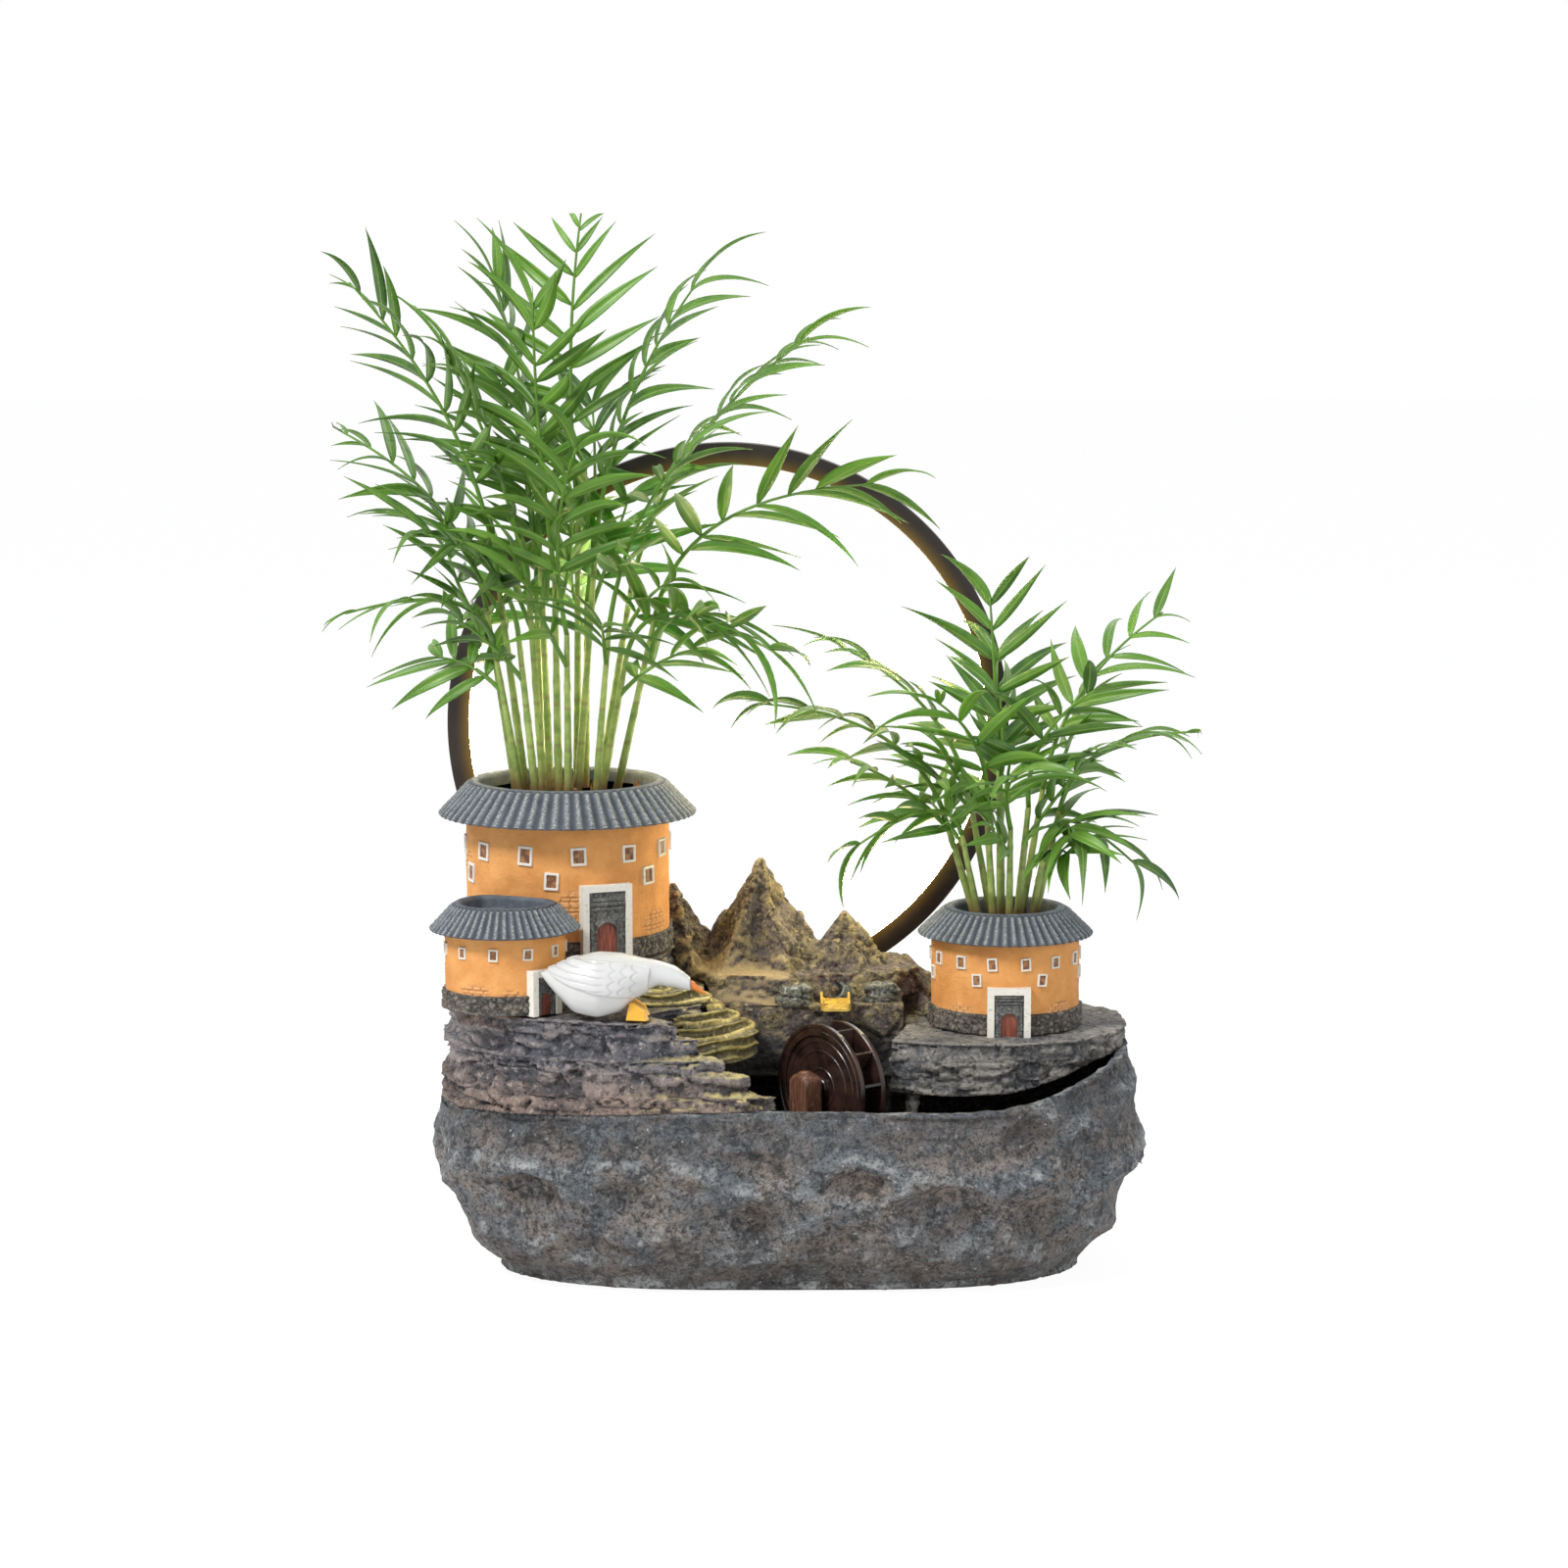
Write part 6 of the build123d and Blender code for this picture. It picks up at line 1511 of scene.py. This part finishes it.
def tapered_tube(name, stops, steps):
    """A smooth tube through Bezier stops, each of them its place, handle before, handle after
    and radius."""
    bpy.ops.object.select_all(action="DESELECT")
    bpy.ops.curve.primitive_bezier_curve_add()
    tube = bpy.context.object
    tube.name = name
    spline = tube.data.splines[0]
    spline.bezier_points.add(len(stops) - 2)
    for point, (place, before, after, radius) in zip(spline.bezier_points, stops):
        point.handle_left_type = "FREE"
        point.handle_right_type = "FREE"
        point.co = place
        point.handle_left = before
        point.handle_right = after
        point.radius = radius / 0.001
    tube.data.resolution_u = steps
    tube.data.bevel_depth = 0.001
    tube.data.bevel_resolution = 2
    tube.data.use_fill_caps = True
    bpy.ops.object.convert(target="MESH")
    tube = bpy.context.object
    bpy.ops.object.shade_smooth()
    return tube


bpy.ops.object.select_all(action="DESELECT")
bpy.ops.mesh.primitive_grid_add(x_subdivisions=11, y_subdivisions=4, size=1.0)
leaflet_model = bpy.context.object
leaflet_model.name = "leaflet_model"


def leaflet(root, direction, side_axis, length, width, droop, twist, tint):
    """One leaflet: the flat grid drawn to a lance shape, folded up along its midrib, bent down
    along its length and turned a little about it."""
    mesh = leaflet_model.data.copy()
    along_values = new_mark(mesh, "along")
    across_values = new_mark(mesh, "across")
    tints = new_mark(mesh, "tint")
    side_axis = (side_axis - direction * side_axis.dot(direction)).normalized()
    up_axis = direction.cross(side_axis)
    if up_axis.z < 0.0:
        up_axis = -up_axis
        side_axis = -side_axis
    for vertex in mesh.vertices:
        along = vertex.co.x + 0.5
        across = vertex.co.y * 2.0
        half = width / 2.8 * (math.sin(math.pi * min(along, 0.999) ** 0.62) ** 1.15) + 0.00035 * (1.0 - along)
        bend_angle = droop * along
        run = math.sin(bend_angle) / droop * length if droop > 0.01 else along * length
        fall = (1.0 - math.cos(bend_angle)) / droop * length if droop > 0.01 else 0.0
        roll = twist * along
        fold = 0.42 * abs(across) * half
        sideways = across * half
        spread = sideways * math.cos(roll) - fold * math.sin(roll)
        raised = sideways * math.sin(roll) + fold * math.cos(roll)
        local_up = up_axis * math.cos(bend_angle) + direction * math.sin(bend_angle)
        vertex.co = root + direction * run - up_axis * fall + side_axis * spread + local_up * raised
        along_values.data[vertex.index].value = along
        across_values.data[vertex.index].value = abs(across)
        tints.data[vertex.index].value = tint
    while any(not low < c < high for vertex in mesh.vertices
              for c, low, high in zip(vertex.co, cad_low, cad_high)):
        for vertex in mesh.vertices:
            vertex.co = root + (vertex.co - root) * 0.85
        width *= 0.85
        if width < 0.004:
            break
    blade = bpy.data.objects.new("leaflet", mesh)
    scene.collection.objects.link(blade)
    return blade


cane_paint, tree, shader = start_material("ringed_green_cane", 0.45)
cane_cloud = cloud(tree, 120.0, 5.0, 0.6)
cane_ring = put(tree, "ShaderNodeTexWave", {"Scale": 14.0, "Distortion": 1.5, "Detail": 1.0},
                bands_direction="Z")
join(tree, put(tree, "ShaderNodeTexCoord"), "Object", cane_ring, "Vector")
cane_share = stretch(tree, cane_cloud, 0, 0.36, 0.64)
cane_base = blend_colour(tree, cane_share, (0.16, 0.27, 0.045), (0.37, 0.45, 0.12))
cane_scar = stretch(tree, cane_ring, "Fac", 0.96, 1.05)
cane_scarred = blend_colour(tree, cane_scar, cane_base, (0.20, 0.13, 0.05))
cane_foot = painted_mark(tree, "foot")
cane_colour = blend_colour(tree, (cane_foot, "Fac"), cane_scarred, (0.17, 0.085, 0.035))
join(tree, cane_colour, 0, shader, "Base Color")
raise_surface(tree, shader, cane_ring, "Fac", 0.0004, 0.6)

leaf_paint_green, tree, shader = start_material("palm_leaf", 0.44)
leaf_tint = painted_mark(tree, "tint")
leaf_along = painted_mark(tree, "along")
leaf_across = painted_mark(tree, "across")
blade_cloud = cloud(tree, 90.0, 4.0)
blade_dark = blend_colour(tree, (leaf_tint, "Fac"), (0.014, 0.062, 0.008), (0.115, 0.265, 0.022))
blade_cast = scaled(tree, stretch(tree, blade_cloud, 0, 0.40, 0.70), 0, 0.45)
blade_mixed = blend_colour(tree, blade_cast, blade_dark, (0.165, 0.310, 0.030))
midrib = stretch(tree, leaf_across, "Fac", 0.16, 0.03)
midrib_share = scaled(tree, midrib, 0, 0.6)
blade_ribbed = blend_colour(tree, midrib_share, blade_mixed, (0.30, 0.42, 0.10))
blade_tip = stretch(tree, leaf_along, "Fac", 0.94, 1.0)
blade_colour = blend_colour(tree, blade_tip, blade_ribbed, (0.20, 0.17, 0.05))
join(tree, blade_colour, 0, shader, "Base Color")
vein_count = put(tree, "ShaderNodeMath", {1: 8.0}, operation="MULTIPLY")
vein_wave = put(tree, "ShaderNodeMath", operation="SINE")
join(tree, leaf_across, "Fac", vein_count, 0)
join(tree, vein_count, 0, vein_wave, 0)
raise_surface(tree, shader, vein_wave, 0, 0.00004, 0.15)
shader.inputs["Subsurface Weight"].default_value = 0.30
shader.inputs["Subsurface Radius"].default_value = (0.5, 1.0, 0.12)
shader.inputs["Subsurface Scale"].default_value = 0.0012


pair_spacing = 0.0125
leaflet_width = 0.0086
cane_ring_spacing = 0.019


def frond_blades(knee, pull, tip, leaf, chance):
    """The thin stalk of one frond and its leaflets in two loose ranks, wide at the foot and
    closing towards a pair at the tip."""
    length = (tip - knee).length
    forward = tip - knee
    level_side = forward.cross(Vector((0.0, 0.0, 1.0))).normalized()
    pull = pull + level_side * length * chance.uniform(-0.12, 0.12)
    tip = tip + level_side * length * chance.uniform(-0.06, 0.06)
    first_pull = knee + (pull - knee) * (2.0 / 3.0)
    last_pull = tip + (pull - tip) * (2.0 / 3.0)
    stalk = tapered_tube("stalk", [(knee, knee, first_pull, 0.0013), (tip, last_pull, tip, 0.0004)], 20)
    for name, value in (("along", 0.3), ("across", 0.6), ("tint", 0.8)):
        values = new_mark(stalk.data, name)
        for item in values.data:
            item.value = value
    blades = [stalk]
    roll = chance.uniform(-0.75, 0.75)
    pair_count = max(4, round(0.66 * length / pair_spacing))
    frond_tint = chance.uniform(0.0, 0.7)
    for pair in range(pair_count):
        rank = pair / (pair_count - 1)
        for side in (-1.0, 1.0):
            share = 0.30 + 0.66 * rank + chance.uniform(-0.02, 0.02)
            place = knee * (1 - share) ** 2 + pull * (2 * share * (1 - share)) + tip * share ** 2
            along = ((pull - knee) * (1 - share) + (tip - pull) * share).normalized()
            side_axis = (level_side - along * level_side.dot(along)).normalized()
            up_axis = side_axis.cross(along)
            side_axis = side_axis * math.cos(roll) + up_axis * math.sin(roll)
            angle = math.radians(68.0 - 34.0 * rank + chance.uniform(-9.0, 9.0))
            direction = along * math.cos(angle) + side_axis * side * math.sin(angle)
            direction += up_axis * chance.uniform(0.0, 0.32)
            direction.normalize()
            grown = 0.66 + 0.34 * math.sin(math.pi * min(0.22 + 0.70 * rank, 1.0))
            reach = 1.16 * leaf * grown * chance.uniform(0.80, 1.10)
            blades.append(leaflet(place, direction, along, reach,
                                  leaflet_width * chance.uniform(0.75, 1.25), chance.uniform(0.25, 1.25),
                                  chance.uniform(-0.9, 0.9),
                                  min(1.0, frond_tint + chance.uniform(0.0, 0.5))))
    return blades


palm_chance = random.Random(5)
for palm_name, site in palm_sites.items():
    canes = []
    blades = []
    for frond in palm_fronds[palm_name]:
        root, knee, pull, tip = frond_points(site, frond)
        rise = knee - root
        foot = root - rise.normalized() * 0.004
        sway = rise.cross(Vector((0.0, 0.0, 1.0))) * palm_chance.uniform(-0.10, 0.10)
        stops = [(foot, foot - rise / 3.0, foot + rise / 3.0 + sway, 0.0024),
                 (knee, knee - rise / 3.0, knee + rise / 3.0, 0.0014)]
        cane = tapered_tube("cane", stops, 24)
        foot_values = new_mark(cane.data, "foot")
        for vertex in cane.data.vertices:
            above = vertex.co.z - site["soil"]
            ring = abs((above / cane_ring_spacing) % 1.0 - 0.5)
            core = foot + rise * ((vertex.co - foot).dot(rise) / rise.length_squared)
            swell = 0.00025 * (1.0 - level_share(ring, 0.0, 0.12))
            vertex.co += (vertex.co - core).normalized() * swell
            foot_values.data[vertex.index].value = 1.0 - level_share(above, 0.004, 0.026)
        canes.append(cane)
        blades.extend(frond_blades(knee, pull, tip, site["leaf"], palm_chance))
        lower = root + rise * palm_chance.uniform(0.72, 0.92)
        swing = Matrix.Rotation(palm_chance.choice((-1.0, 1.0)) * palm_chance.uniform(0.5, 1.3), 4, "Z")
        arch = swing @ ((tip - knee) * palm_chance.uniform(0.42, 0.62))
        arch.z = abs(arch.z) * 0.6 + palm_chance.uniform(-0.010, 0.030)
        young_tip = lower + arch
        level_arch = Vector((arch.x, arch.y, 0.0)).normalized()
        young_pull = lower + (rise.normalized() + level_arch * 0.6) * arch.length * 0.42
        blades.extend(frond_blades(lower, young_pull, young_tip, site["leaf"] * 0.86, palm_chance))
    stand = joined(canes, palm_name + "_palm_ringed_canes")
    stand.data.materials.append(cane_paint)
    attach(stand, "fountain")
    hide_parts(palm_name + "_palm_canes")
    crown = joined(blades, palm_name + "_palm_leafy_crown")
    thicken = crown.modifiers.new("leaf_thickness", "SOLIDIFY")
    thicken.thickness = 0.0003
    thicken.offset = 0.0
    bpy.ops.object.modifier_apply(modifier=thicken.name)
    for vertex in crown.data.vertices:
        vertex.co = inside_box(vertex.co)
    bpy.ops.object.shade_smooth()
    crown.data.materials.append(leaf_paint_green)
    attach(crown, "fountain")
    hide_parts(palm_name + "_palm_crown")
bpy.data.objects.remove(leaflet_model)


# Pump, hose, gland and pad
# Bought-in parts: a black submersible pump on rubber cups with a slotted intake and a grey
# flow dial, a clear hose, a rubber gland in the back wall and a rubber pad under the basin.
def moulded(name, low, high, grain, roughness, depth):
    """Plastic or rubber with a faint cloud and a fine moulded grain."""
    texture = (grain * 0.2, 4.0)
    material, tree, shader = clouded(name, texture, (0.36, 0.64), low, high, roughness)[:3]
    raise_surface(tree, shader, cloud(tree, grain, 3.0), 0, depth)
    return material, tree, shader


black_plastic = moulded("pump_black_plastic", (0.010, 0.010, 0.011), (0.022, 0.022, 0.024),
                        1500.0, 0.42, 0.00012)[0]
grey_plastic = moulded("dial_grey_plastic", (0.22, 0.23, 0.24), (0.30, 0.31, 0.32),
                       1500.0, 0.45, 0.0001)[0]
dull_rubber = moulded("black_rubber", (0.012, 0.012, 0.012), (0.032, 0.031, 0.030),
                      1100.0, 0.80, 0.0002)[0]
white_ceramic = moulded("shaft_ceramic", (0.70, 0.69, 0.66), (0.80, 0.79, 0.77),
                        1800.0, 0.30, 0.00004)[0]
magnet_plastic = moulded("rotor_magnet", (0.030, 0.030, 0.034), (0.065, 0.066, 0.070),
                         1400.0, 0.50, 0.0001)[0]
hose_vinyl, tree, shader = moulded("clear_vinyl", (0.62, 0.68, 0.66), (0.74, 0.79, 0.77),
                                   900.0, 0.14, 0.00005)
shader.inputs["Transmission Weight"].default_value = 0.75
shader.inputs["IOR"].default_value = 1.48
for part, paint in (("pump_housing", black_plastic), ("pump_cover", black_plastic),
                    ("pump_dial", grey_plastic), ("pump_shaft", white_ceramic),
                    ("pump_rotor", magnet_plastic), ("pump_suction_cups", dull_rubber),
                    ("cable_grommet", dull_rubber), ("base_pad", dull_rubber),
                    ("riser_hose", hose_vinyl)):
    repaint(part, paint)
